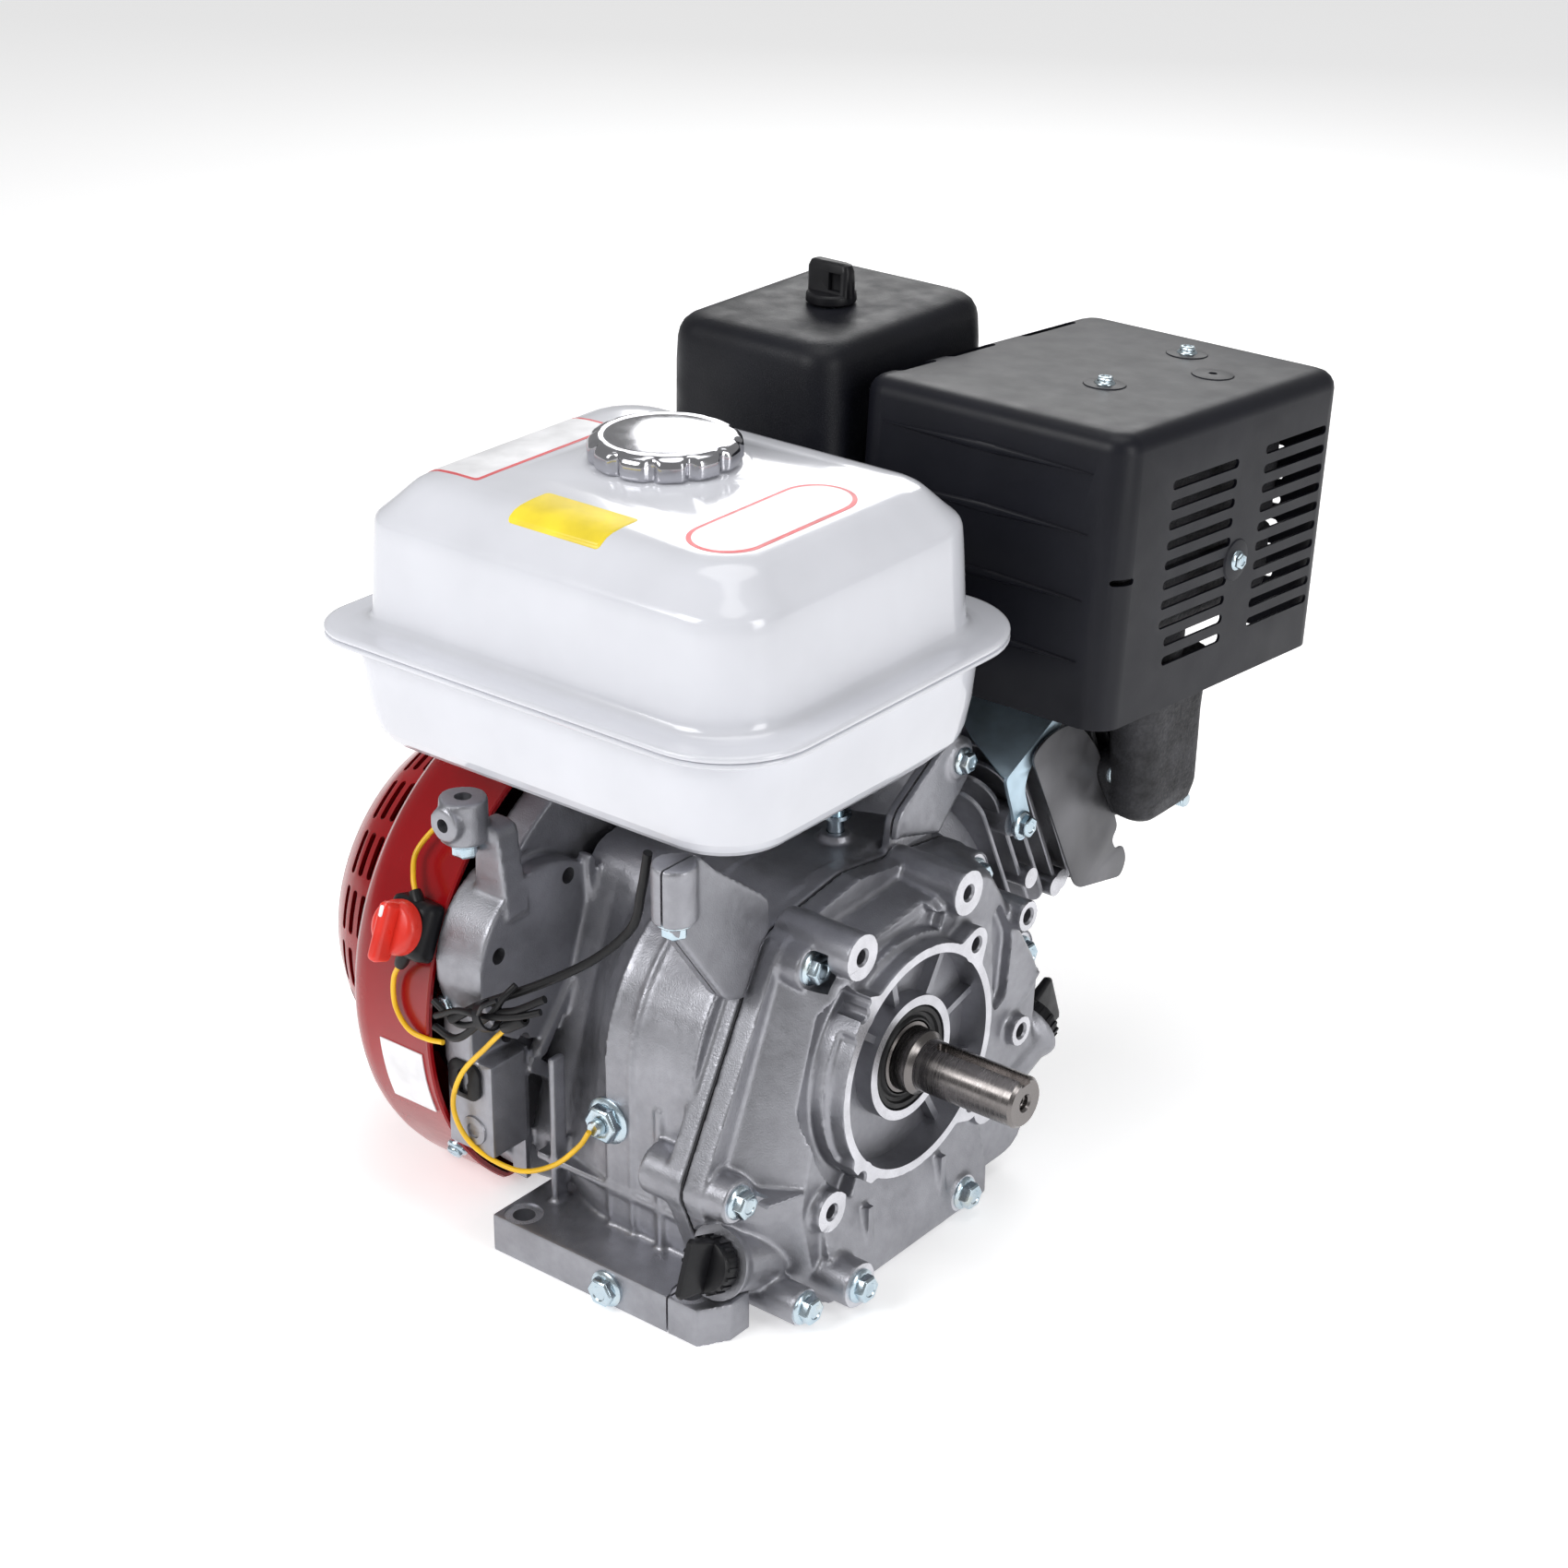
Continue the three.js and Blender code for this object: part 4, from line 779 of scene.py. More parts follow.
def fuel_cap():
    low = span("fuel_cap")[0]
    lobes, sides = 12, 240

    def scalloped(scale, depth):
        outline = []
        for i in range(sides):
            t = 2 * math.pi * i / sides
            dip = max(0.0, math.cos(lobes * t)) ** 2
            radius = (35.9 - depth * dip) * scale
            outline.append((radius * math.cos(t), radius * math.sin(t)))
        return outline

    base = low.z
    sections = [(0, 0.93, 1.6), (0.8, 0.975, 2.4), (2.2, 1.0, 2.8), (7.6, 1.0, 2.8), (9.6, 0.985, 2.4),
                (11.1, 0.95, 1.6),
                (12.0, 0.90, 0.8), (12.3, 0.84, 0.2), (12.0, 0.80, 0), (12.2, 0.76, 0), (12.9, 0.60,
                        0), (13.3, 0.30, 0)]
    cap = loft("z", [(base + z, scalloped(scale, depth)) for z, scale, depth in sections], CAP)
    carved(cap, [drum("z", 0, 0, 28, base - 1, base + 6, CAP)])
    piece("fuel_cap_chrome", cap, "fuel_cap_body", CHROME, "chrome", ["fuel_cap"], 40)
    # Ring under the chrome cap: its brass colour is a painted reflection, the gold glint seen under the cap
    seal = turned("z", [(base + 0.6, 27.6), (base + 3.4, 27.6), (base + 3.4, 22), (base + 0.6, 22)], CAP,
                  48, True)
    piece("fuel_cap_ring_painted_reflection", seal, "fuel_cap_body", BRASS, "chrome")


def tank_skin(name, outline, low, high, look):
    """A sticker that follows the tank's top, between two heights above its paint."""
    sticker = prism("z", outline, RIM_Z + 55, RIM_Z + 90)
    over = loft("z", [(RIM_Z + z + high, tank_outline(inset - high)) for z, inset in TANK_TOP])
    under = loft("z", [(RIM_Z + z + low, tank_outline(inset - low)) for z, inset in TANK_TOP])
    body = boolean(over, [sticker], "INTERSECT")
    carved(body, [under])
    piece(name, body, ENGINE, look, "white_paint", (), 50)


def blank_labels():
    """Plain stickers, with borders only, where such a tank carries its notices."""
    caution = [(-130, -84), (-98, -84), (-98, 12), (-130, 12)]
    yellow = [(-63, -102), (-9, -102), (-9, -75), (-63, -75)]
    for name, outline, border, edge, fill in (
            ("caution_label", rounded(caution, 2.5), 2.0, LABEL_RED, LABEL_WHITE),
            ("yellow_label", rounded(yellow, 2.5), 1.0, LABEL_YELLOW, LABEL_YELLOW),
            ("fuel_label", hull([(34, -67, 18), (34, -5, 18)], 64), 2.0, LABEL_RED, LABEL_WHITE)):
        a0, a1 = min(p[0] for p in outline), max(p[0] for p in outline)
        b0, b1 = min(p[1] for p in outline), max(p[1] for p in outline)
        inner = [((a - (a0 + a1) / 2) * (1 - 2 * border / (a1 - a0)) + (a0 + a1) / 2,
                  (b - (b0 + b1) / 2) * (1 - 2 * border / (b1 - b0)) + (b0 + b1) / 2) for a, b in outline]
        tank_skin(name + "_border", outline, -0.3, 0.12, edge)
        tank_skin(name + "_blank", inner, -0.3, 0.2, fill)


# ---- Air cleaner ----
def air_cleaner():
    low, high = span("air_cleaner_cover")
    corner = 18

    def outline(inset):
        return rounded_box(low.x + inset, high.x - inset, low.y + inset, high.y - inset,
                           max(corner - inset * 0.4, 4), 10)

    height = high.z - low.z
    sections = [(0, 0.6), (0.5, 0), (6, 0), (6.4, 0.5), (7.6, 0.9), (8.4, 1.0), (height - 24, 2.0),
                (height - 12, 2.6), (height - 8, 3.4),
                (height - 4.6, 5.0), (height - 2.2, 7.6), (height - 0.8, 11), (height - 0.2, 15), (height,
                        22),
                (height - 0.4, 34), (height - 0.6, 48)]
    shell = loft("z", [(low.z + z, outline(inset)) for z, inset in sections])
    inside = loft("z", [(low.z - 1, outline(3)), (high.z - 14, outline(5)), (high.z - 3.2, outline(14))])
    knob_x, knob_y = middle("air_cleaner_knob").x, middle("air_cleaner_knob").y
    carved(shell, [inside, drum("z", knob_x, knob_y, 4, high.z - 20, high.z + 5)])
    piece("air_cleaner_shell", shell, ENGINE, BLACK_GRAIN, "black_plastic", ["air_cleaner_cover"], 40)

    place = Matrix.Translation((knob_x, knob_y, high.z))
    disc = turned("z", [(0.3, 3.4), (0.3, 12), (1.0, 12.8), (4.6, 12.6), (5.6, 11.6), (5.8, 3.4)], place,
                  40, True)
    wing = loft("z",
                [(4, rounded_box(-12.5, 12.5, -5, 5, 3, 5)),
                 (17, rounded_box(-12.8, 12.8, -4.2, 4.2, 3, 5)),
                      (20, rounded_box(-11.6, 11.6, -3.2, 3.2, 2.6, 5)), (20.8,
                              rounded_box(-9.5, 9.5, -2, 2, 1.6, 5))], place)
    carved(wing, [block(-9, -1.6, 1.8, 9, 7, 16, place), block(1.6, 9, -9, -1.8, 7, 16, place)])
    knob = united(disc, [wing])
    bevelled(knob, 0.5, 2, 40)
    piece("air_cleaner_wing_knob", knob, "air_cleaner_knob_body", BLACK_PLASTIC, "black_plastic",
          ["air_cleaner_knob"])

    def tray(inset):
        return rounded_box(low.x + 3 + inset, high.x - 3 - inset, low.y + 3 + inset, high.y - 3 - inset, 14,
                           8)

    body = loft("z", [(248, tray(5)), (249.5, tray(1.5)), (252, tray(0)), (low.z - 0.4, tray(0))])
    duct = loft("z",
                [(206, rounded_box(-137, -113, 182, 208, 6)), (212, rounded_box(-138, -112.6, 180, 210, 8)),
                      (236, rounded_box(-138, -112.6, 180, 210, 9)), (250,
                              rounded_box(-141, -106, 174, 216, 12))])
    joined = cast([body, duct], 1.3, 3)
    carved(joined, [drum("x", 195, 219, 10, -126, -100), drum("z", -125, 195, 10, 214, 280),
                    prism("z", tray(5), 256, 270)])
    stud = drum("z", knob_x, knob_y, 3, 250, high.z + 6, None, 24)
    piece("air_cleaner_tray", joined, ENGINE, BLACK_PLASTIC, "black_plastic", ["air_cleaner_base"], 50)
    piece("air_cleaner_stud", stud, ENGINE, ZINC, "zinc")


# ---- Muffler, its guard and the exhaust elbow ----
def guard_outline(inset, corner=14):
    x0, x1 = GUARD_X
    return rounded_box(x0 + inset, x1 - inset, inset, GUARD_SIZE[0] - inset, max(corner - inset, 2), 9)


def bead(x0, x1, z, depth=1.2, half=2.6):
    """A pressed rib along X on the guard's side that faces -Y."""
    outline = hull([(x0, z, half), (x1, z, half)], 24)
    inner = hull([(x0, z, half * 0.45), (x1, z, half * 0.45)], 24)
    count = len(outline)
    return loft("y", [(-depth, evenly(inner, ((x0 + x1) / 2, z), count)), (-depth * 0.55, evenly(
        hull([(x0, z, half * 0.8), (x1, z, half * 0.8)], 24), ((x0 + x1) / 2, z), count)),
        (1.0, evenly(outline, ((x0 + x1) / 2, z), count))], GUARD)


def slot(y0, y1, z, half, x0, x1):
    return prism("x", hull([(y0 + half, z, half), (y1 - half, z, half)], 20), x0, x1, GUARD)


def muffler_guard():
    x0, x1 = GUARD_X
    depth, height = GUARD_SIZE
    sections = [(0, 0.2), (height - 9, 0), (height - 6, 0.6), (height - 3.4, 2.2), (height - 1.5, 4.6),
                (height - 0.4, 8), (height, 12), (height, 40)]
    shell = loft("z", [(z, guard_outline(inset)) for z, inset in sections], GUARD)
    inside = [(-1, 1.6), (height - 9, 1.6), (height - 5.6, 2.6), (height - 3, 5.2), (height - 1.6, 9),
              (height - 1.4, 40)]
    carved(shell, [loft("z", [(z, guard_outline(inset)) for z, inset in inside], GUARD)])
    united(shell, [bead(x0 + 18, x1 - 20, z) for z in (32, 62, 94, 123)])
    cutters = []
    for row in range(10):
        z = 25 + row * 9.8
        cutters.append(slot(42 + (6 if row < 2 else 0), 101, z, 2.3, x1 - 6, x1 + 4))
        cutters.append(slot(126, 184, z + 1.5, 2.3, x1 - 6, x1 + 4))
        cutters.append(slot(30, 96, z, 2.3, x0 - 4, x0 + 6))
        cutters.append(slot(112, 176, z, 2.3, x0 - 4, x0 + 6))
    for row in range(7):
        outline = hull([(x0 + 30, 30 + row * 13, 2.4), (x1 - 30, 30 + row * 13, 2.4)], 20)
        cutters.append(prism("y", outline, depth - 6, depth + 4, GUARD))
    cutters.append(slot(3, 15, 73, 1.6, x1 - 8, x1 + 4))
    for y0, y1 in ((22, 46), (64, 96), (128, 168)):
        cutters.append(prism("z", hull([(x0 + 8, y0, 3.6), (x0 + 8, y1, 3.6)], 20), height - 12, height + 3,
                             GUARD))
    cutters.append(drum("z", 84, 133, 2.2, height - 6, height + 3, GUARD, 24))
    carved(shell, cutters)
    piece("muffler_guard_sheet", shell, ENGINE, BLACK_PAINT, "black_paint", ["muffler_guard"], 40)

    screws = [hex_bolt(GUARD @ Matrix.Translation((x, y, height)), 7.5, 4.2) for x,
              y in ((53, 159), (59, 75))]
    side = GUARD @ Matrix.Translation((x1, 108, 63)) @ Matrix.Rotation(math.pi / 2, 4, "Y")
    screws.append(hex_bolt(side, 7.5, 4.2))
    piece("guard_screws", gathered(screws), ENGINE, ZINC, "zinc")
    dimples = [turned("z", [(-0.4, 0), (-0.4, 11), (0.5, 10.2), (0.9, 7.5), (0.9, 0)],
                      GUARD @ Matrix.Translation((x, y, height)), 40)
               for x, y in ((53, 159), (59, 75), (84, 133))]
    dimples.append(turned("z", [(-0.4, 0), (-0.4, 11), (0.5, 10.2), (0.9, 7.5), (0.9, 0)], side, 40))
    carved(dimples[2], [drum("z", 84, 133, 2.2, height - 6, height + 3, GUARD, 24)])
    piece("guard_screw_pads", gathered(dimples), ENGINE, BLACK_PAINT, "black_paint")


def muffler():
    x0, x1, depth = -16, 106, GUARD_SIZE[0] - 14

    def outline(inset):
        return rounded_box(x0 + inset, x1 - inset, 14 + inset, depth - inset, 22, 9)

    sections = [(24, 16), (24.6, 9), (27, 4), (31, 1), (36, 0), (62, 0), (63, 2.2), (67, 2.2), (68, 0),
                (110, 0),
                (118, 1), (122, 4), (125, 9), (126, 16)]
    can = loft("z", [(z, outline(inset)) for z, inset in sections], GUARD)
    inlet = drum("z", 84, 103, 15, 6, 30, GUARD)
    tail = turned("z", [(0, 0), (0, 8), (26, 8), (26, 0)],
                  GUARD @ Matrix.Translation((30, depth - 2, 90)) @ Matrix.Rotation(-math.pi / 2, 4,
                          "X"), 32)
    carved(tail, [turned("z", [(4, 0), (4, 7), (30, 7), (30, 0)],
                         GUARD @ Matrix.Translation((30, depth - 2, 90)) @ Matrix.Rotation(-math.pi / 2, 4,
                                 "X"), 32)])
    united(can, [inlet, tail])
    piece("muffler_can", can, ENGINE, IRON, "cast_iron", ["muffler_body"], 40)


def elbow_flange(gap=0.0):
    """The elbow's flange outline, in (y, z)."""
    return hull([(205, 172, 20 + gap), (184, 186, 9 + gap), (226, 158, 9 + gap)])


def exhaust_elbow():
    y, z = 205, 172
    flange = prism("x", elbow_flange(), 70.4, 79)
    riser = loft("z",
                 [(158, rounded_box(77, 94, 188, 222, 8)), (163, rounded_box(75.6, 99, 180, 229, 10)),
                  (172, rounded_box(75.5, 101.6, 176, 231, 12)),
                       (212, rounded_box(75.5, 102.4, 172, 231, 12)), (226,
                               rounded_box(72, 103, 170, 232, 12)),
                       (244, rounded_box(67, 104, 168, 232, 12))])
    elbow = cast([flange, riser], 1.2, 3)
    carved(elbow, [drum("x", y, z + 2, 13, 60, 86), drum("z", 86, 202, 11.5, 168, 250)])
    piece("exhaust_elbow_casting", elbow, ENGINE, IRON, "cast_iron", ["exhaust_elbow"], 50)
    nuts = [stud_and_nut(aimed((79, y + dy, z + dz), (1, 0, 0)), 4, 17) for dy,
            dz in ((-21, 14), (21, -14))]
    piece("exhaust_studs", gathered(nuts), ENGINE, ZINC, "zinc")


# ---- Cylinder barrel, head and their sheet metal; lengths along the bore are local Y ----
HEAD_PLANE = 163
FIN_PITCH = 10


def fin(x0, x1, z0, z1, s, thickness, corner=14, place=BORE):
    outline = rounded_box(x0, x1, z0, z1, corner, 8)
    slim = rounded_box(x0 + 0.6, x1 - 0.6, z0 + 0.6, z1 - 0.6, corner - 0.6, 8)
    return loft("y", [(s, slim), (s + 0.5, outline), (s + thickness - 0.5, outline), (s + thickness, slim)],
                place)


def barrel():
    tube_part = drum("y", 0, 0, 50, 66, HEAD_PLANE - 0.3, BORE)
    pads = [drum("x", s, t, 5.4, 48, 65.4, BORE, 24) for s,
            t in ((134, -24), (149, -46), (144, 30), (154, -46))]
    boss = drum("x", 134, 19, 8, 40, 66, BORE, 32)
    fins = []
    for step in range(5):
        s = HEAD_PLANE - 0.3 - step * FIN_PITCH - 2.6
        reach = 65 - 1.2 * step
        fins.append(fin(-reach, reach, -60 + 3 * step, 46, s, 2.6))
    body = tube_part
    united(body, fins + pads + [boss])
    carved(body, [turned("y", [(50, 0), (50, 42.4), (170, 42.4), (170, 0)], BORE)])
    body.data.materials.append(CAST)
    body.data.materials.append(MACHINED)
    paint(body, 1, lambda c, n: n.x > 0.99 and c.x > 65.2)
    piece("cylinder_barrel", body, ENGINE, (CAST, MACHINED), "cast_aluminium")


def cylinder_head():
    box = prism("y", rounded_box(-56, 56, -56, 34, 12), 164.5, 193, BORE)
    upper = prism("y", rounded_box(-46, 58, -50, 32, 9), 190, 232, BORE)
    fins = [fin(-66, 66, -64 + 2 * i, 38 - i, s, 2.6, 12) for i,
            s in enumerate((168, 177, 186, 195, 204, 213, 222, 229.4))]
    port = drum("x", 214, -27, 21, 40, 70, BORE)
    intake = drum("x", 224.4, 20, 16, -66, -40, BORE)
    body = united(box, [upper] + fins + [port, intake])
    plug = aimed(BORE @ Vector((-22, 176, -26)), BORE.to_3x3() @ Vector((-0.5, math.cos(math.pi / 6), 0)))
    carved(body, [drum("y", 0, 0, 33, 160, 178, BORE), drum("x", 214, -27, 13, 52, 72, BORE),
                  drum("x", 224.4, 20, 10, -68, -52, BORE), drum("z", 0, 0, 14, 19, 120, plug), drum("z", 0,
                          0, 7.3, -12, 90, plug)]
           + [drum("y", x, -6, 3.3, 160, 240, BORE, 24) for x in (-17, 17)])
    piece("cylinder_head_casting", body, ENGINE, DARK, "dark_casting", ["cylinder_head"])

    def rocker(inset):
        return rounded_box(-40 + inset, 56 - inset, -44 + inset, 16 - inset, 12, 8)

    lid = loft("y",
               [(232.3, rocker(0)), (235.5, rocker(0)), (236, rocker(2.5)), (248, rocker(3.5)),
                (251.5, rocker(5)),
                     (253.4, rocker(8)), (254, rocker(13)), (254, rocker(18))], BORE)
    carved(lid, [loft("y", [(231, rocker(5)), (250, rocker(7))], BORE)])
    piece("rocker_cover", lid, ENGINE, CAST, "cast_aluminium", ["valve_cover"])
    bolts = [hex_bolt(BORE @ aimed((x, 235.5, z), (0, 1, 0)), 8, 5) for x in (-36, 52) for z in (-40, 12)]
    piece("rocker_cover_bolts", gathered(bolts), ENGINE, ZINC, "zinc")


def side_sheet():
    """The dark air guide beside the head, with its rounded top and the notch low on its outer edge."""
    outline = [(154, -50), (188, -76), (196, -70), (196, -60), (190, -57), (189, -49), (196, -46), (198, 8),
               (192, 30),
               (181, 44), (166, 50), (151, 50)]
    sheet = prism("x", rounded(outline, 7, 7), 72, 73.4, BORE)
    bevelled(sheet, 0.4, 2)
    carved(sheet, [prism("x", elbow_flange(0.5), 60, 90)])
    piece("side_air_guide", sheet, ENGINE, SHEET, "dark_casting", ["side_plate"])
    duct_low, duct_high = -96, -67
    duct = bevelled(block(duct_low, duct_high, 124.5, 163.5, -60, 50, BORE), 6, 4)
    carved(duct, [block(duct_low + 1.4, duct_high + 5, 120, 161, -57, 47, BORE)])
    piece("cylinder_air_duct", duct, ENGINE, BLACK_PAINT, "black_paint", ["cylinder_duct"])


def muffler_bracket():
    low, high = 49, 50.8
    outline = [(14, 212), (14, 170), (34, 153), (69, 133), (70, 140), (70, 196), (56, 212)]
    top = prism("z", rounded(outline, 5, 5), low, high, BORE)
    fold = prism("x",
                 rounded([(133, high), (196, high), (192, 44), (150, 41), (143, 34), (141, 12), (137, 9),
                          (131, 9),
                               (128, 13), (131, 30), (132, 44)], 4, 5), 68.2, 70, BORE)
    bracket = united(top, [fold])
    bevelled(bracket, 0.6, 2, 50)
    piece("muffler_bracket_plate", bracket, ENGINE, ZINC_SHEET, "zinc", ["muffler_bracket"])
    bolt = hex_bolt(BORE @ aimed((70, 134, 18), (1, 0, 0)), 10, 6)
    piece("bracket_bolt", bolt, ENGINE, ZINC, "zinc")


# ---- Crankcase ----
FLANGE_BACK = -97
FLOOR_GAP = 4
COVER_BOLTS = [(-104, 70), (-51, 169), (75, 167), (117, 107)]
SUMP_BOLTS = [(42, 12), (-84, 12)]
FLANGE = hull([(y, z, 12.5) for y, z in COVER_BOLTS] + [(y, z, 9.5) for y, z in SUMP_BOLTS]
              + [(0, 176, 14), (100, 26, 16)], 64)
CHAMBER = hull([(0, CRANK_Z, 66), (-70, 62, 22), (-60, 44, 20), (86, 46, 21), (92, 106, 17), (48, 158, 14)])
COVER_KEEP_OUT = hull([(y, z, 15) for y, z in COVER_BOLTS] + [(-41, 177, 15), (41, 177, 15), (104, 30, 18)])
FOOT_HOLES = [(side * 52.5, y) for y in (-117, 78.5) for side in (-1, 1)]
LEFT_FOOT_TOP = 20.2
DOME_CENTRE = (4, 92)
CASE_CIRCLES = [(-18, CRANK_Z, 80), (-74, 30, 24), (88, 30, 26), (94, 106, 22), (60, 166, 22),
                (-20, 168, 20)]


CASE_BACK_CIRCLES = [(6, 108, 58), (-68, 44, 22), (88, 30, 26), (94, 106, 22), (60, 166, 22),
                     (-26, 164, 22)]


def case_outline(extra=0.0):
    return hull([(y, z, radius + extra) for y, z, radius in CASE_CIRCLES], 64)


def shrunk(outline, share):
    return [(DOME_CENTRE[0] + (a - DOME_CENTRE[0]) * share, DOME_CENTRE[1] + (b - DOME_CENTRE[1]) * share)
            for a, b in outline]


def case_section(share):
    """The case's outline a share of the way from its narrow rear wall to its full size."""
    mixed = [tuple((1 - share) * a + share * b for a, b in zip(p, q)) for p,
             q in zip(CASE_BACK_CIRCLES, CASE_CIRCLES)]
    return evenly(hull(mixed, 64), DOME_CENTRE, 160)


def crankcase_body():
    feet = [prism("z", [(-64, -127), (64, -127), (73, -113), (73, -99), (46, -99), (46, -70), (-64, -70)],
                  0, LEFT_FOOT_TOP),
            block(-64, 68, 55, 93, 0, 16), block(-64, 46, -74, 58, 0, 20)]
    shell = [loft("x",
                  [(-72, case_section(0)), (-64, case_section(0.04)), (-52, case_section(0.22)),
                   (-38, case_section(0.56)),
                        (-26, case_section(0.84)), (-16, case_section(0.97)), (-8, case_section(1)), (38,
                                case_section(1))]),
             prism("x", case_outline(0.9), -14, 1),
             prism("x", case_outline(1.6), -14.6, -13.4), prism("x", case_outline(1.6), 0.4, 1.6),
             prism("x", FLANGE, 35, 46)]
    pads = [drum("x", y, z, 13, 20, 46) for y, z in COVER_BOLTS] + [drum("x", y, z, 10, 18, 46) for y,
            z in SUMP_BOLTS]
    disc = [drum("x", 0, CRANK_Z, 122, FLANGE_BACK, -79, None, 96),
            drum("x", -80, 143, 45, FLANGE_BACK, -68, None, 72)]
    carved(disc[0], [block(-120, 0, -140, 140, -40, FLOOR_GAP)])
    rim = turned("x", [(-72, 38), (-72, 45), (-69, 45), (-69, 38)],
                 Matrix.Translation((0, -80, 143)), 72, True)
    ridges = [prism("x", rounded([(-52, 184), (-47, 182), (-45, 140), (-86, 88), (-91, 91), (-51, 139)], 3),
                    -72, -64.5),
              prism("x", rounded([(-92, 92), (-88, 88), (-70, 72), (-72, 66), (-96, 84)], 3), -74, -66)]
    walls = [block(-80, -70, -96, -92, 22, 96), block(-60, 30, -100, -92, 40, 44),
             block(-50, -46, -101, -92, 20, 100),
             block(16, 20, -100, -92, 20, 96), block(-97, -68, -120.5, -96, 46, 96)]
    pillars = [prism("x",
                     rounded([(-58, 150), (-88, 160), (-124, 210), (-127, 240), (-104, 240), (-98, 232),
                              (-56, 200)], 6),
                     40, 50), drum("z", 45, -117, 10.5, 212, 240),
               prism("x", rounded([(36, 176), (60, 170), (98, 206), (100, 224), (84, 232), (40, 204)], 6),
                     41, 50),
               drum("x", 88, 217, 9, 38, 52),
               drum("z", -87, -112, 11.5, 208, 230), drum("y", -87, 220, 8.5, -126, -104),
               prism("y", rounded([(-88, 176), (-66, 168), (-72, 214), (-86, 216)], 3), -106, -92),
               drum("z", 20, 30, 8, 170, 192)]
    root = block(-56, 44, 60, 100, -48, 44, BORE)
    above = gathered(pillars + [root])
    body = cast(feet + shell + pads + disc + [rim] + ridges + walls + [above], 1.1, 4,
                [prism("x", COVER_KEEP_OUT, 46, 80)])
    cutters = [
        turned("x", [(FLANGE_BACK - 1, 50), (FLANGE_BACK - 1, 112), (-84, 112), (-84, 50)], CRANK, 96,
               True),
        loft("x", [(-60, shrunk(evenly(CHAMBER, DOME_CENTRE, 64), 0.72)),
                   (-30, shrunk(evenly(CHAMBER, DOME_CENTRE, 64), 0.86)),
                   (10, evenly(CHAMBER, DOME_CENTRE, 64)), (47.2, evenly(CHAMBER, DOME_CENTRE, 64))]),
        turned("y", [(40, 0), (40, 42.5), (112, 42.5), (112, 0)], BORE),
        drum("x", 0, CRANK_Z, 36.2, -79, -50, None, 64), drum("x", 0, CRANK_Z, 26.3, FLANGE_BACK - 2, -70,
                None, 64),
        drum("x", 60.18, 78.89, 8.4, -68, -50), drum("x", 66, 204, 4.5, FLANGE_BACK - 2, -60),
        drum("z", 20, 30, 4.4, 160, 200), drum("y", 9.5, 9.5, 5.4, -129, -108), drum("y", -13, 79, 6.4,
                -106, -80),
        prism("x", hull([(0, 100, 200)], 8), CASE_FRONT - 0.3, CASE_FRONT + 0.9),
    ]
    carved(cutters[0], [block(-120, 0, -140, 140, -60, FLOOR_GAP + 8)])
    cutters += [drum("z", x, y, 5.5, -2, 24) for x, y in FOOT_HOLES]
    cutters += [drum("z", x, y, 9.5, LEFT_FOOT_TOP - 0.8, 26) for x, y in FOOT_HOLES[:2]]
    cutters += [drum("x", y, z, 4.2, -100, -64) for y, z in ((-63, 176), (-112, 153), (-97, 101))]
    cutters += [drum("z", -87, -112, 4.2, 200, 240), drum("x", 88, 217, 3.6, 30, 60),
                drum("y", -87, 220, 3.4, -130, -108)]
    carved(body, cutters)
    body.data.materials.append(CAST)
    body.data.materials.append(MACHINED)
    paint(body, 1, lambda c,
          n: (abs(n.z) > 0.99 and c.z < 0.2) or (n.z > 0.99 and abs(c.z - LEFT_FOOT_TOP + 0.8) < 0.2)
          or (n.x > 0.99 and abs(c.x - 45.7) < 0.3))
    piece("crankcase_casting", body, ENGINE, (CAST, MACHINED), "cast_aluminium", ["crankcase"], 40)


# ---- Cover with the output mounting face ----
FILLERS = {"dipstick": (62, -111, 37, -1), "oil_filler_cap": (72, 124, 62, 1)}
LONG_BOSSES = [(-41, 177, 11.5), (41, 177, 11.5), (-61, 51.5, 10.5), (62, 52, 10.5), (92, 144, 8),
               (90, 81, 8)]
DOME_BASE = [(-92, 60, 16), (-46, 157, 17), (66, 162, 20), (104, 104, 18), (94, 28, 20), (-70, 26, 20)]
DOME_FRONT = [(-64, 56, 16), (-36, 149, 18), (56, 160, 20), (96, 102, 18), (88, 26, 20), (-52, 26, 20)]
DOME_INSIDE = [(-56, 60, 14), (-36, 150, 12), (48, 150, 14), (86, 100, 14), (76, 42, 16), (-46, 42, 16)]


def filler_frame(name):
    x, y, z, side = FILLERS[name]
    lean = math.radians(20)
    outward = Vector((0, side * math.cos(lean), math.sin(lean)))
    return Matrix.Translation((x, y, z)) @ Vector((0, 0,
                                                   1)).rotation_difference(outward).to_matrix().to_4x4()


def dome(share, inset=0.0, circles=None):
    """The cover's outline a share of the way from its root to its front wall."""
    low, high = circles or (DOME_BASE, DOME_FRONT)
    mixed = [tuple((1 - share) * a + share * b for a, b in zip(p, q)) for p, q in zip(low, high)]
    return evenly(hull([(y, z, max(radius - inset, 2)) for y, z, radius in mixed], 48), DOME_CENTRE, 128)


def arc_band(inner, outer, start, end, steps=24):
    """A band round the crank axis, in (y, z)."""
    angles = [math.radians(start + (end - start) * i / steps) for i in range(steps + 1)]
    out = [(outer * math.cos(t), CRANK_Z + outer * math.sin(t)) for t in angles]
    back = [(inner * math.cos(t), CRANK_Z + inner * math.sin(t)) for t in reversed(angles)]
    return out + back


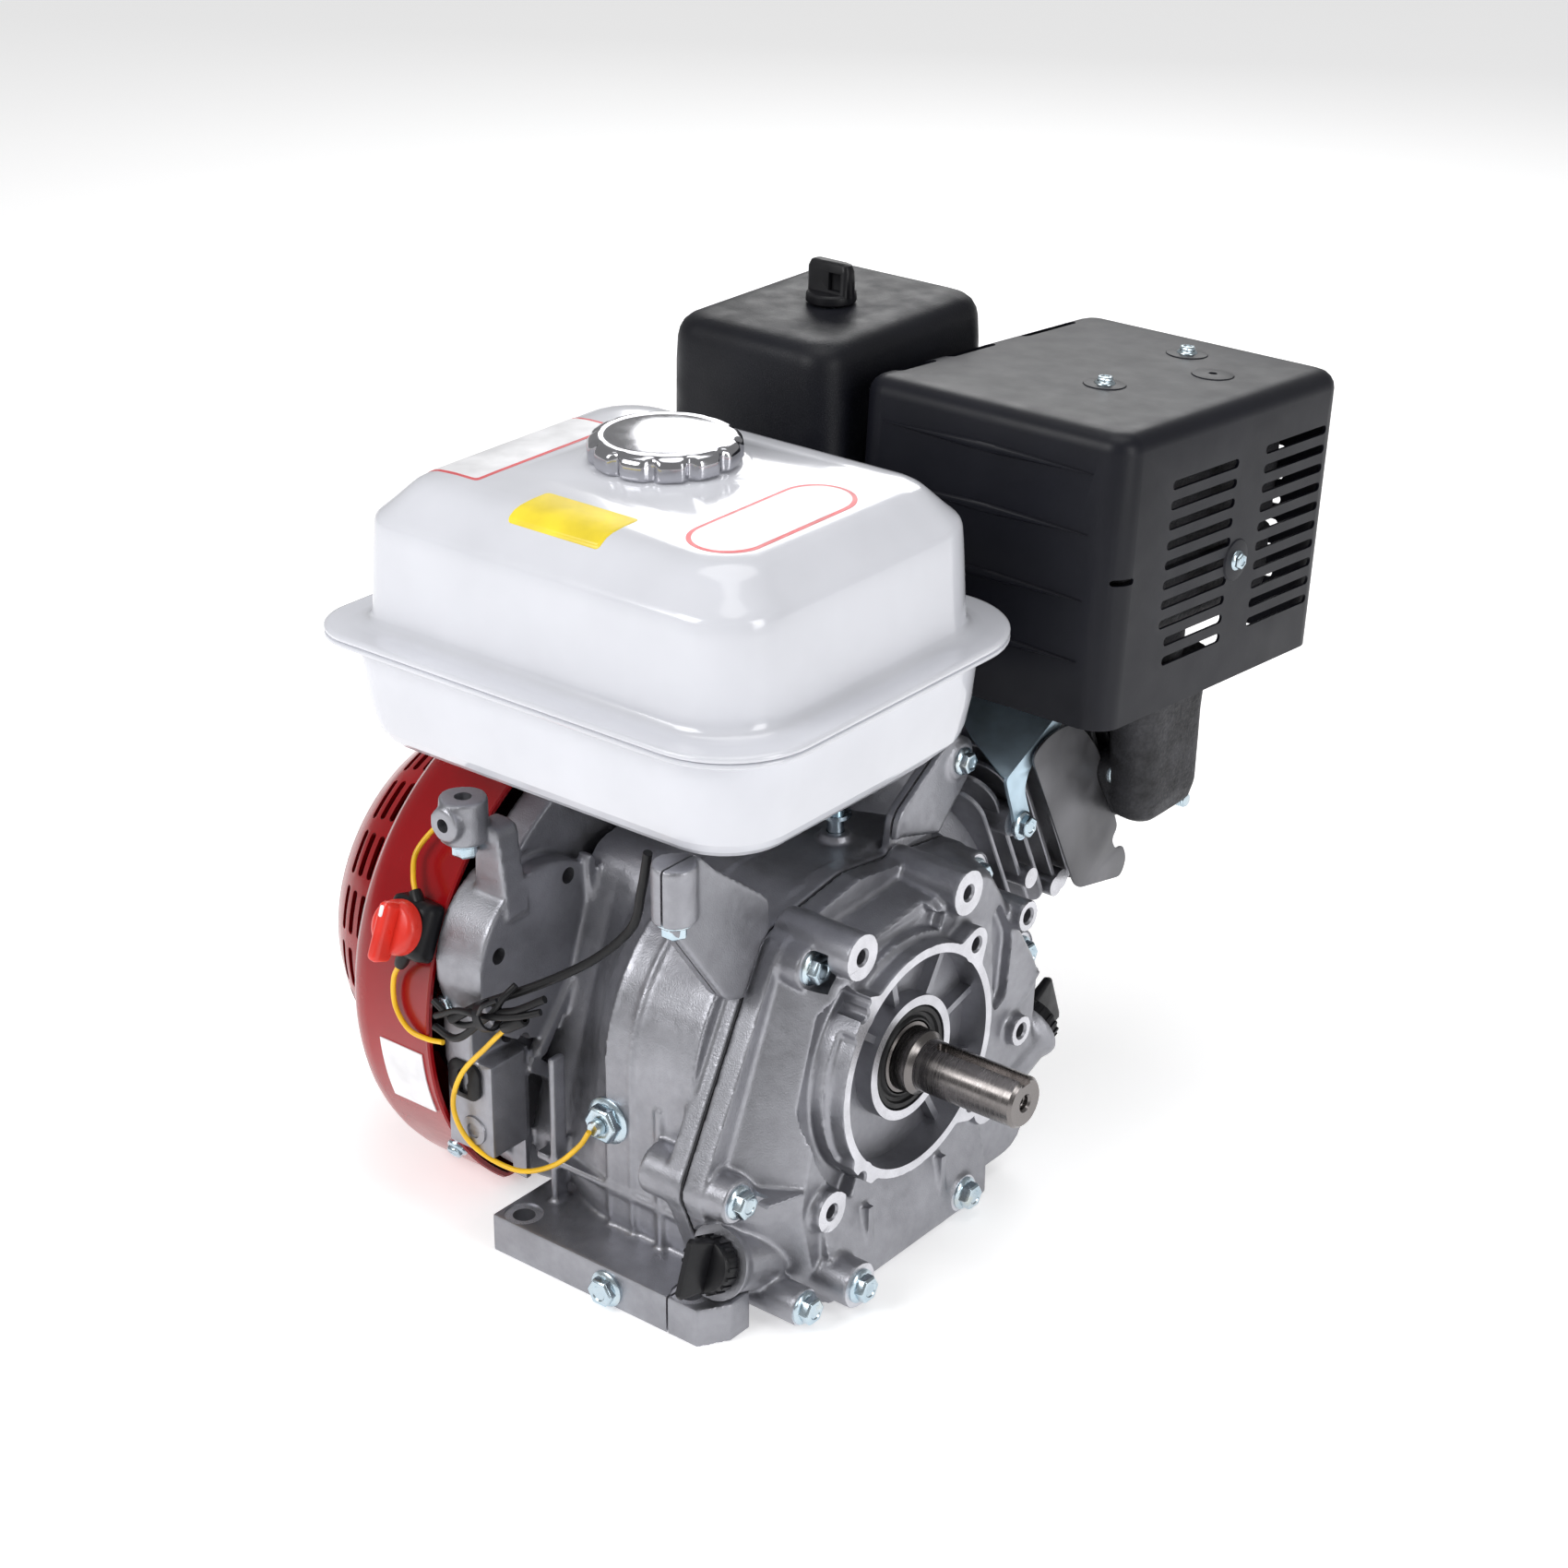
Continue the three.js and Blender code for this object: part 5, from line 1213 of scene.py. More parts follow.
def cover_casting():
    front = COVER_FACE
    lobes = [(a * 43.8, CRANK_Z + b * 43.8) for a in (-1, 1) for b in (-1, 1)]
    shell = [prism("x", FLANGE, COVER_BACK, 58),
             loft("x", [(56, dome(0)), (64, dome(0.28)), (74, dome(0.66)), (81, dome(0.95)),
                        (front, dome(1, 3.4))]),
             drum("x", 0, CRANK_Z, 58.3, 76, PILOT_FACE + 0.8, None, 128)]
    shell += [prism("x", hull([(y, z, 8.8), (y * 0.7, CRANK_Z + (z - CRANK_Z) * 0.7, 17)]), front - 5,
                    PILOT_FACE + 0.8)
              for y, z in lobes]
    shell += [drum("x", y, z, 11.5, COVER_BACK, 70.8) for y, z in COVER_BOLTS]
    shell += [prism("y", rounded([(60, 0), (92.6, 0), (92.6, 16), (84, 56), (60, 56)], 5), -62, 62)]
    shell += [drum("x", y, z, 9.4, COVER_BACK, 93.6) for y, z in SUMP_BOLTS]
    shell += [drum("x", -56, 14, 11.5, 60, 104.6)]
    shell += [drum("x", y, z, radius, COVER_BACK, 91.8) for y, z, radius in LONG_BOSSES]
    shell += [block(60, 92, -34, -30, 2, 40), block(60, 92, 24, 28, 2, 40)]
    for name in FILLERS:
        boss = turned("z", [(-36, 0), (-36, 16), (-8, 15.5), (-2.5, 17.5), (0.6, 17.5), (0.6, 0)],
                      filler_frame(name), 48)
        shell.append(carved(boss,
                            [block(-60, COVER_BACK, -200, 200, -60, 300),
                             block(-200, 200, -200, 200, -60, 0.4)]))
    ribs = [prism("x", rounded([(y0, z0), (y1, z1), (y1 + 3.4, z1 + 1.4), (y0 + 3.4, z0 + 1.4)], 1), 60, 86)
            for y0, z0, y1, z1 in ((-104, 72, -78, 66), (112, 104, 88, 84))]
    pockets = [prism("x", arc_band(61.5, 71, 128, 236), 77, 100),
               prism("x", arc_band(61.5, 70, 64, 112), 79, 100),
               prism("x", rounded([(-26, 184), (14, 184), (24, 172), (18, 168), (-28, 168)], 5), 78, 100),
               prism("x", rounded([(76, 156), (88, 134), (84, 100), (74, 96), (70, 150)], 6), 79, 100),
               prism("x", rounded([(-78, 90), (-72, 118), (-84, 108), (-88, 84)], 5), 74, 100)]
    body = cast(shell + ribs, 1.0, 4, pockets)
    recess = drum("x", 0, CRANK_Z, 53.5, 80.4, 110, None, 128)
    seal_boss = drum("x", 0, CRANK_Z, 31, 70, 120, None, 96)
    spokes = [prism("z", [(30, -1.8), (54, -1.8), (54, 1.8), (30, 1.8)], 78, 86.5,
                    CRANK @ Matrix.Rotation(math.radians(angle), 4,
                                            "X") @ Matrix(((0, 0, 1, 0), (1, 0, 0, 0), (0, 1, 0, 0),
                                                           (0, 0, 0, 1))))
              for angle in (15, 58, 104, 142, 300, 338)]
    corners = [drum("x", y, z, 9, 70, 120) for y, z in lobes]
    carved(recess, [seal_boss] + spokes + corners)
    cutters = [
        recess,
        block(PILOT_FACE, 99, -60, 60, CRANK_Z - 60, CRANK_Z + 60),
        drum("x", 0, CRANK_Z, 32, 89.6, 99, None, 96),
        drum("x", 0, CRANK_Z, 36.2, 50, 79, None, 64), drum("x", 0, CRANK_Z, 26.3, 70, 99, None, 64),
        drum("x", 60.18, 78.89, 8.4, 50, 76),
        block(40, 81, -132, -98.4, -5, LEFT_FOOT_TOP + 0.4), block(40, 81, 54.7, 93.3, -5, 16.3),
        block(COVER_BACK - 6, COVER_BACK, -200, 200, -10, 300),
        loft("x", [(COVER_BACK - 2, evenly(CHAMBER, DOME_CENTRE, 64)),
                   (57, evenly(CHAMBER, DOME_CENTRE, 64)),
                   (60, shrunk(evenly(hull(DOME_INSIDE), DOME_CENTRE, 64), 0.9)),
                   (front - 12, shrunk(evenly(hull(DOME_INSIDE), DOME_CENTRE, 64), 0.84))]),
    ]
    keep = [drum("x", 0, CRANK_Z, 42, 60, 90), drum("x", 60.18, 78.89, 14, 64, 90)]
    carved(cutters[-1], keep)
    cutters += [drum("x", y, z, 10.2, 70, 80) for y, z in COVER_BOLTS]
    cutters += [drum("x", y, z, 10.4, 93, 99) for y, z in SUMP_BOLTS]
    cutters += [drum("x", -56, 14, 12.4, 104, 109)]
    cutters += [drum("x", y, z, radius + 0.8, 91, 98) for y, z, radius in LONG_BOSSES]
    cutters += [drum("x", y, z, 3.5, PILOT_FACE - 14, 99, None, 24) for y, z in lobes]
    cutters += [turned("x",
                       [(PILOT_FACE - 1.1, 0), (PILOT_FACE - 1.1, 3.4), (PILOT_FACE + 0.4, 4.8),
                        (PILOT_FACE + 0.4, 0)],
                       Matrix.Translation((0, y, z)), 24) for y, z in lobes]
    cutters += [drum("x", y, z, 3.6, 80, 98, None, 24) for y, z, _ in LONG_BOSSES]
    cutters += [turned("x", [(89.9, 0), (89.9, 3.6), (91.4, 5), (91.4, 0)], Matrix.Translation((0, y, z)),
                       24)
                for y, z, _ in LONG_BOSSES]
    cutters += [drum("x", -56, 14, 4.2, 86, 110, None, 24)]
    for name in FILLERS:
        cutters.append(turned("z", [(-42, 0), (-42, 9.4), (-0.8, 9.4), (-0.8, 18.6), (30, 18.6), (30, 0)],
                              filler_frame(name), 48))
    carved(body, cutters)
    body.data.materials.append(CAST)
    body.data.materials.append(MACHINED)
    faces = (PILOT_FACE, 89.6, 91, 93, 104, 70)
    paint(body, 1, lambda c, n: n.x > 0.99 and any(abs(c.x - f) < 0.05 for f in faces)
          or n.x < -0.99 and c.x < COVER_BACK + 0.1)
    piece("cover_casting", body, ENGINE, (CAST, MACHINED), "cast_aluminium", ["crankcase_cover"], 40)
    heads = [hex_bolt(aimed((70, y, z), (1, 0, 0)), 12, 7) for y, z in COVER_BOLTS]
    heads += [hex_bolt(aimed((93, y, z), (1, 0, 0)), 12, 7) for y, z in SUMP_BOLTS]
    heads.append(hex_bolt(aimed((104, -56, 14), (1, 0, 0)), 12, 6.5))
    piece("cover_bolts", gathered(heads), ENGINE, ZINC, "zinc")


def oil_caps():
    for name, shape in (("dipstick", "dipstick_body"), ("oil_filler_cap", "oil_filler_cap_body")):
        place = filler_frame(name)
        head = turned("z",
                      [(-0.6, 0), (-0.6, 12.6), (0.6, 13.4), (6.6, 13.2), (8.4, 12.2), (9.2, 10),
                       (9.2, 0)], place, 60)
        ribs = [block(-0.8, 0.8, 12.6, 14, 0.6, 7.2, place @ Matrix.Rotation(math.radians(angle), 4, "Z"))
                for angle in range(0, 360, 20)]
        tab = loft("z",
                   [(8, rounded_box(-3, 3, -13, 13, 2, 5)), (22, rounded_box(-2.4, 2.4, -14.6, 14.6, 2, 5)),
                         (24, rounded_box(-1.4, 1.4, -13, 13, 1.2, 5))], place)
        threads = [(1, 0), (1, 7.6)]
        threads += [(-z - part * 0.9, 8.9 if part else 7.8) for z in range(1, 15, 2) for part in (0, 1)]
        threads += [(-16, 7), (-16, 0)]
        united(head, ribs + [tab, turned("z", threads, place, 40)])
        if name == "dipstick":
            united(head, [drum("z", 0, 0, 2.4, -38, -14, place, 16)])
        piece(name + "_moulding", head, shape, BLACK_PLASTIC, "black_plastic", [name])
        ring = turned("z", [(-0.7, 9.6), (-0.7, 12), (0.2, 12.6), (0.2, 9.6)], place, 48, True)
        piece(name + "_ring", ring, shape, RUBBER, "black_rubber")


def crank_and_seals():
    journal, shaft = 17.5, 12.7
    rear = turned("x",
                  [(-152, 0), (-152, 7.2), (-151, 8), (-140, 8), (-138, 9.5), (-104, 14), (-103, journal),
                        (-14, journal), (-14, 0)], CRANK, 64)
    front = turned("x",
                   [(14, 0), (14, journal), (88, journal), (88.6, 16), (97, 15.6), (98.4, 14), (99.6, 12.9),
                    (102, shaft),
                         (SHAFT_END - 1.6, shaft), (SHAFT_END, shaft - 1.5), (SHAFT_END,
                                 4.6), (SHAFT_END - 1.2, 3.6),
                         (SHAFT_END - 22, 3.6), (SHAFT_END - 23.6, 0)], CRANK, 96)
    c, s = math.cos(BORE_TILT), math.sin(BORE_TILT)
    web_outline = hull([(29 * c, 29 * s, 19), (0, 0, 24), (-14 * c, -14 * s, 31)], 64)
    webs = [bevelled(prism("x", web_outline, x, x + 14, CRANK), 1.2, 2) for x in (-27, 13)]
    pin = drum("x", 29 * c, 29 * s, 16, -14, 14, CRANK, 64)
    body = united(rear, [front] + webs + [pin])
    keyway = prism("z", hull([(108, 0, 3.2), (SHAFT_END + 10, 0, 3.2)], 32), shaft - 3.4, shaft + 3, CRANK)
    threads = gathered([turned("x", [(x, 0), (x, 3.6), (x + 0.5, 4.05), (x + 1, 3.6), (x + 1, 0)], CRANK,
                               24)
                        for x in [SHAFT_END - 20 + 1.25 * i for i in range(14)]])
    carved(body, [keyway, threads])
    piece("crankshaft_turned", body, "crank_train", STEEL, "machined_steel", ["crankshaft"])
    seal = turned("x",
                  [(81, 18.2), (81, 25.7), (88.4, 25.7), (89, 25.2), (89, 23), (87.6, 22.2), (87, 20.4),
                   (88.2, 19.2),
                        (88.2, 18.4), (86.8, 18.2)], CRANK, 96, True)
    piece("shaft_seal_lip", seal, ENGINE, RUBBER, "black_rubber", ["oil_seal_front"])


# ---- Small things on the crankcase's side ----
def side_fittings():
    x, z = -13, 79
    nut = hex_bolt(aimed((x, -98.8, z), (0, -1, 0)), 17, 7.2)
    tail = turned("z", [(0, 0), (0, 4), (3.6, 4), (4.6, 3.2), (4.6, 0)], aimed((x, -105.6, z), (0, -1, 0)),
                  32)
    shank = drum("y", x, z, 6, -100, -86)
    piece("sensor_nut", united(nut, [shank, tail]), ENGINE, ZINC, "zinc", ["oil_level_sensor"])
    drain = hex_bolt(aimed((9.5, -127.4, 9.5), (0, -1, 0)), 13, 6.2)
    piece("drain_plug", united(drain, [drum("y", 9.5, 9.5, 5, -128.6, -112)]), ENGINE, ZINC, "zinc",
          ["drain_bolt"])

    plug = loft("y",
                [(-123, rounded_box(-93, -75, 76, 94, 6, 6)), (-122.4, rounded_box(-94, -74, 75, 95, 6, 6)),
                      (-116, rounded_box(-94, -74, 75, 95, 6, 6))])
    carved(plug, [prism("y", hull([(-84, 88, 3.4), (-84, 86, 3.4)], 24), -124, -119.6),
                  prism("y", rounded([(-86, 87), (-82, 87), (-81, 78), (-87, 78)], 1), -124, -120)])
    boss = turned("z", [(-6, 0), (-6, 9), (0, 7.4), (0, 4), (-4, 3.6), (-4, 0)],
                  aimed((-80, -121.5, 58), (0, -1, 0)), 40)
    piece("lower_boss", boss, ENGINE, CAST, "cast_aluminium")
    piece("rubber_inspection_plug", plug, ENGINE, RUBBER, "black_rubber")
    earth = aimed((-96, -117.4, 121), (0, -1, 0))
    heads = [hex_bolt(earth, 10, 5.6), hex_bolt(aimed((52, 88, 217), (1, 0, 0)), 10, 5.4)]
    heads += [hex_bolt(aimed((x, y, z), (0, 0, -1)), 11, 8, 1.5) for x, y,
              z in ((-87, -112, 208), (45, -117, 212))]
    piece("case_bolts", gathered(heads), ENGINE, ZINC, "zinc")
    boss = turned("z", [(-14, 0), (-14, 11), (-1, 9.6), (0, 8.6), (0, 0)], earth, 40)
    piece("earth_boss", boss, ENGINE, CAST, "cast_aluminium")
    eye = turned("z", [(0.3, 4.6), (0.3, 7.4), (1.3, 7.4), (1.3, 4.6)],
                 aimed((-96, -117.6, 121), (0, -1, 0)), 32, True)
    piece("earth_ring", eye, ENGINE, BRASS, "zinc")


# ---- Flywheel end: shroud, starter, switch ----
def shroud_section(inset):
    outline = evenly(hull([(0, CRANK_Z, 130 - inset), (101.5, 153.3, 56 - inset)], 96), (20, 115), 160)
    return [(y, max(z, FLOOR_GAP + inset)) for y, z in outline]


def fan_shroud():
    back = -158
    outside = loft("x",
                   [(back, shroud_section(18)), (back + 0.6, shroud_section(13)),
                    (back + 2.2, shroud_section(9)),
                         (back + 5, shroud_section(5)), (back + 8.6, shroud_section(2.4)), (back + 13,
                                 shroud_section(0.8)),
                         (back + 18, shroud_section(0)), (-101, shroud_section(0)), (-99.4,
                                 shroud_section(-0.6)),
                         (-98.5, shroud_section(0.2))])
    inside = loft("x",
                  [(back + 2, shroud_section(20)), (back + 4.4, shroud_section(11)),
                   (back + 10, shroud_section(4.6)),
                        (back + 18, shroud_section(2.2)), (-97, shroud_section(2.2))])
    hole = drum("z", 0, 0, 8.2, 118, 140, radial(SWITCH_X, SWITCH_ANGLE), 32)
    carved(outside, [inside, drum("x", 0, CRANK_Z, 88, -170, -150, None, 128), hole])
    piece("shroud_pressing", outside, ENGINE, RED, "red_paint", ["fan_shroud"], 45)
    screws = [hex_bolt(radial(-106, math.radians(angle)) @ Matrix.Translation((0, 0, 129.8)), 8, 4.4)
              for angle in (100, 160, 215)]
    piece("shroud_screws", gathered(screws), ENGINE, ZINC, "zinc")
    start, end = math.radians(185), math.radians(201)
    steps = [start + (end - start) * i / 16 for i in range(17)]
    band = [(130.5 * math.cos(t), CRANK_Z + 130.5 * math.sin(t)) for t in steps]
    inner = [(129.6 * math.cos(t), CRANK_Z + 129.6 * math.sin(t)) for t in reversed(steps)]
    piece("shroud_label_blank", prism("x", band + inner, -132, -104), ENGINE, LABEL_WHITE, "white_paint")


def recoil_starter():
    shell = turned("x",
                   [(-157.8, 99), (-157.8, 102.6), (-159, 103.4), (-161, 103.2), (-162.4, 101.4),
                    (-168, 100.4), (-180, 98),
                         (-190, 94.8), (-198, 90.4), (-208, 83), (-215, 74.6), (-220, 66), (-224,
                                 56), (-225.6, 48), (-226, 40),
                         (-226, 22), (-224.6, 19), (-224.6, 0), (-222.4, 0), (-222.4, 20), (-223.5,
                                 40), (-222, 54), (-217.6, 65),
                         (-206, 81), (-196.6, 88.4), (-188.4, 92.6), (-179, 95.8), (-166,
                                 98.2)], CRANK, 128, True)
    slots = []
    for x in (-170, -178, -186, -194):
        for sector in range(20):
            angle = 18 * sector + 4
            if abs(angle - 50) < 13:
                continue
            slots.append(prism("z", hull([(0, -9.4, 2.0), (0, 9.4, 2.0)], 16), 72, 112,
                               radial(x, math.radians(angle))))
    bush = turned("z",
                  [(86, 5), (86, 10.6), (102, 10.2), (105, 9.4), (106, 8), (106, 4.2), (101, 3.4),
                   (86, 3.4)],
                  radial(PULL_X, PULL_ANGLE), 40, True)
    carved(shell, slots + [drum("z", 0, 0, 8, 60, 120, radial(PULL_X, PULL_ANGLE), 32)])
    piece("recoil_dome", shell, ENGINE, RED, "red_paint", ["recoil_housing"], 40)
    piece("rope_bush", bush, ENGINE, BLACK_PLASTIC, "black_plastic")
    post = turned("x", [(-223, 0), (-223, 9), (-219, 8), (-190.4, 8), (-190.4, 0)], CRANK, 40)
    piece("reel_post", post, ENGINE, STEEL, "machined_steel")
    heads = []
    for degrees in (75, 165, 200, 285):
        t = math.radians(degrees)
        heads.append(hex_bolt(aimed((-166.2, 99.4 * math.cos(t), CRANK_Z + 99.4 * math.sin(t)),
                                    (-0.25, math.cos(t), math.sin(t))), 8, 4.2))
    piece("recoil_screws", gathered(heads), ENGINE, ZINC, "zinc")

    bar = loft("x",
               [(x, evenly(hull([(-33, 122, 9 - d), (33, 122, 9 - d), (0, 134, 10 - d)], 48), (0, 125), 96))
                for x, d in ((-9, 4.4), (-7.6, 2.2), (-5, 0.6), (-2, 0), (2, 0), (5, 0.6), (7.6, 2.2),
                             (9, 4.4))],
               radial(PULL_X, PULL_ANGLE))
    stem = turned("z",
                  [(106.6, 3.2), (106.6, 7.2), (108, 8.4), (114, 8), (120, 9.4), (124, 9.4), (124, 3.2)],
                  radial(PULL_X, PULL_ANGLE), 40, True)
    grip = united(bar, [stem])
    carved(grip, [drum("z", 0, 0, 3.1, 104, 124, radial(PULL_X, PULL_ANGLE), 32)])
    piece("starter_handle", grip, "starter_grip_body", BLACK_GRAIN, "black_plastic", ["starter_grip"], 45)
    axis = radial(PULL_X, PULL_ANGLE)
    rope = tube([axis @ Vector((0, 0, 46 + 1.6 * i)) for i in range(48)], 2.2, 16)
    rope.name = "starter_cord"
    rope.data.materials.append(ROPE)
    shaded(rope)
    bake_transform(rope)
    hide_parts("starter_rope")


def engine_switch():
    place = radial(SWITCH_X, SWITCH_ANGLE)
    body = loft("z",
                [(130.6, rounded_box(-12.5, 12.5, -13.5, 13.5, 3, 6)),
                 (132, rounded_box(-13.6, 13.6, -14.6, 14.6, 4, 6)),
                      (139, rounded_box(-13, 13, -14, 14, 4, 6)), (142,
                              rounded_box(-11, 11, -12, 12, 4, 6)),
                      (142.9, rounded_box(-9, 9, -10, 10, 4, 6))], place)
    neck = drum("z", 0, 0, 7.6, 118, 134, place, 40)
    piece("switch_housing", united(body, [neck]), ENGINE, BLACK_PLASTIC, "black_plastic", ["switch_body"],
          45)
    disc = turned("z",
                  [(143.3, 0), (143.3, 12.4), (144.2, 13.4), (148.4, 13.2), (151, 12.2), (152, 10.4),
                   (152, 0)], place, 64)
    bar = loft("z",
               [(150, rounded_box(-3.4, 3.4, -16.6, 12.4, 3, 6)),
                (157, rounded_box(-3.2, 3.2, -17, 12.8, 3, 6)),
                     (159.4, rounded_box(-2.4, 2.4, -16, 12, 2.2, 6)), (160,
                             rounded_box(-1.4, 1.4, -14.6, 10.6, 1.2, 6))], place)
    knob = united(disc, [bar])
    piece("switch_key", knob, "switch_knob_body", RED_PLASTIC, "red_plastic", ["switch_knob"], 45)
    mark = prism("z", rounded_box(-1.1, 1.1, 5, 10.6, 0.8, 4), 159.6, 160.3, place)
    piece("switch_mark", mark, "switch_knob_body", LABEL_WHITE, "red_plastic")


# ---- Carburettor side ----
def carburettor_side():
    y, z = 195, 219
    body = [bevelled(block(-110, -77, 180, 210, 205, 234), 2, 3),
            drum("x", y, z, 15.5, -112, -75.4, None, 48),
            prism("x", hull([(y - 22, z, 8), (y + 22, z, 8), (y, z, 15)], 32), -80, -75.2),
            prism("x", hull([(y - 20, z, 8), (y + 16, z, 8)], 32), -112, -108)]
    bowl = turned("z", [(180.4, 0), (180.4, 8), (181.4, 12), (184.4, 15), (190, 16), (204, 16), (204, 0)],
                  Matrix.Translation((-94, y, 0)), 48)
    carb = cast(body + [bowl], 0.8, 2)
    carved(carb, [drum("x", y, z, 10.5, -114, -74)])
    piece("carburettor_casting", carb, ENGINE, CAST, "cast_aluminium", ["carburetor"], 50)
    spacer = prism("x", hull([(y, z, 15.4), (y - 20, z, 7), (y + 20, z, 7)], 32), -74.6, -66.5)
    carved(bevelled(spacer, 0.8, 2), [drum("x", y, z, 10.2, -80, -60)])
    piece("insulator_block", spacer, ENGINE, GASKET, "gasket", ["intake_insulator"])
    for node, x, level, side in (("choke_lever", -86, 230, 1), ("fuel_valve_lever", -100, 208, -1)):
        place = Matrix.Translation((x, 211.3, level))
        lever = prism("y", hull([(0, 0, 5.2), (side * 25, 0, 3.8)], 40), 0, 3.6, place)
        pivot = turned("y", [(0.2, 0), (0.2, 6.2), (4.6, 6.0), (5.4, 4.8), (5.4, 0)], place, 32)
        tip = loft("y", [(0.4, rounded_box(side * 25 - 6, side * 25 + 5, -4.2, 4.2, 3, 5)),
                         (7, rounded_box(side * 25 - 5, side * 25 + 4, -3.2, 3.2, 2.4, 5)),
                         (8, rounded_box(side * 25 - 4, side * 25 + 3, -2.2, 2.2, 1.6, 5))], place)
        piece(node + "_moulding", bevelled(united(lever, [pivot, tip]), 0.4, 2, 50), node + "_body",
              BLACK_PLASTIC, "black_plastic", [node])


def governor_controls():
    top = prism("z", rounded_box(-82, -22, 84, 112, 5, 5), 226, 228)
    leg = block(-40, -24, 84, 86, 203, 227)
    foot = block(-40, -24, 66, 86, 202, 204)
    plate = united(top, [leg, foot])
    carved(plate, [prism("z", hull([(-44, 105, 2.4), (-30, 105, 2.4)], 24), 220, 232),
                   drum("z", -74, 90, 2.4, 220, 232)])
    piece("control_bracket", bevelled(plate, 0.5, 2, 50), ENGINE, ZINC, "zinc", ["control_plate"])
    place = Matrix.Translation((-68, 98, 0))
    arm = prism("z", hull([(0, 0, 4.4), (-62, 0, 3.8)], 32), 228.3, 230.3, place)
    grip = loft("z",
                [(228.4, rounded_box(-70, -56, -5.6, 5.6, 3, 5)),
                 (235, rounded_box(-69, -57, -4.8, 4.8, 3, 5)),
                      (236, rounded_box(-68, -58, -3.8, 3.8, 2.4, 5))], place)
    hub = turned("z", [(228.3, 0), (228.3, 7), (231.6, 7), (233, 5.8), (233, 0)], place, 40)
    piece("throttle_arm", bevelled(united(arm, [grip, hub]), 0.3, 2, 50), "throttle_lever_body", ZINC,
          "zinc", ["throttle_lever"])
    place = Matrix.Translation((20, 30, 0))
    shaft = turned("z", [(180, 0), (180, 4), (203.4, 4), (204, 3.2), (204, 0)], place, 32)
    swing = prism("z", hull([(-47, 0, 3.8), (0, 0, 7.6)], 32), 200, 202, place)
    carved(swing, [drum("z", x, 0, 1.2, 190, 210, place, 16) for x in (-48, -42, -36, -30)])
    piece("governor_swing_arm", united(shaft, [swing]), "governor_arm_body", ZINC, "zinc", ["governor_arm"])


# ---- Leads: the same routes as the CAD's, in millimetres ----
LEADS = {
    "switch_wire": (1.3, YELLOW, "yellow_wire",
                    [(-101, -100, 195), (-108, -98, 201), (-117, -98, 201), (-123, -108, 189),
                                                 (-118, -116, 180), (-112, -120.3, 173.3)]),
    "earth_wire": (1.3, YELLOW, "yellow_wire",
                   [(-113, -131, 143), (-119, -131, 132), (-118, -132, 118), (-110, -132, 108),
                                                (-99, -131, 106), (-88, -131, 108)]),
    "sensor_wire": (1.3, YELLOW, "yellow_wire",
                    [(-48, -128, 130), (-62, -128, 114), (-80, -128, 92), (-87, -127, 70),
                                                 (-80, -122, 50), (-58, -116, 42), (-36, -114, 52), (-20,
                                                         -113, 68),
                                                 (-13, -112.5, 79)]),
    "black_lead": (2.2, RUBBER, "black_rubber",
                   [(22, -108, 234), (16, -106, 212), (10, -106, 192), (-8, -110, 172),
                                                 (-30, -118, 156), (-52, -126, 143), (-64, -130, 136), (-80,
                                                         -133, 124)]),
    "ignition_lead": (3, RUBBER, "black_rubber",
                      [(-108.5, 66, 204), (-92, 66, 204), (-74, 68, 205), (-58, 92, 213),
                                                  (-50, 118, 224), (-49, 142, 236), (-50, 175, 240), (-52,
                                                          204, 241),
                                                  (-60, 226, 234), (-68, 240, 216), (-76, 243, 200)]),
}
BUNDLES = [(1.9,
            [(-26, -126, 151), (-40, -130, 142), (-56, -131, 134), (-78, -131, 114), (-94, -130, 114)]),
           (1.7, [(-94, -130, 128), (-76, -131, 122), (-57, -132, 133), (-48, -130, 146),
                  (-44, -126, 152)]),
           (1.7, [(-92, -131, 121), (-74, -133, 131), (-58, -134, 134), (-40, -131, 139),
                  (-28, -127, 144)])]
KNOT = Vector((-57, -132, 134))


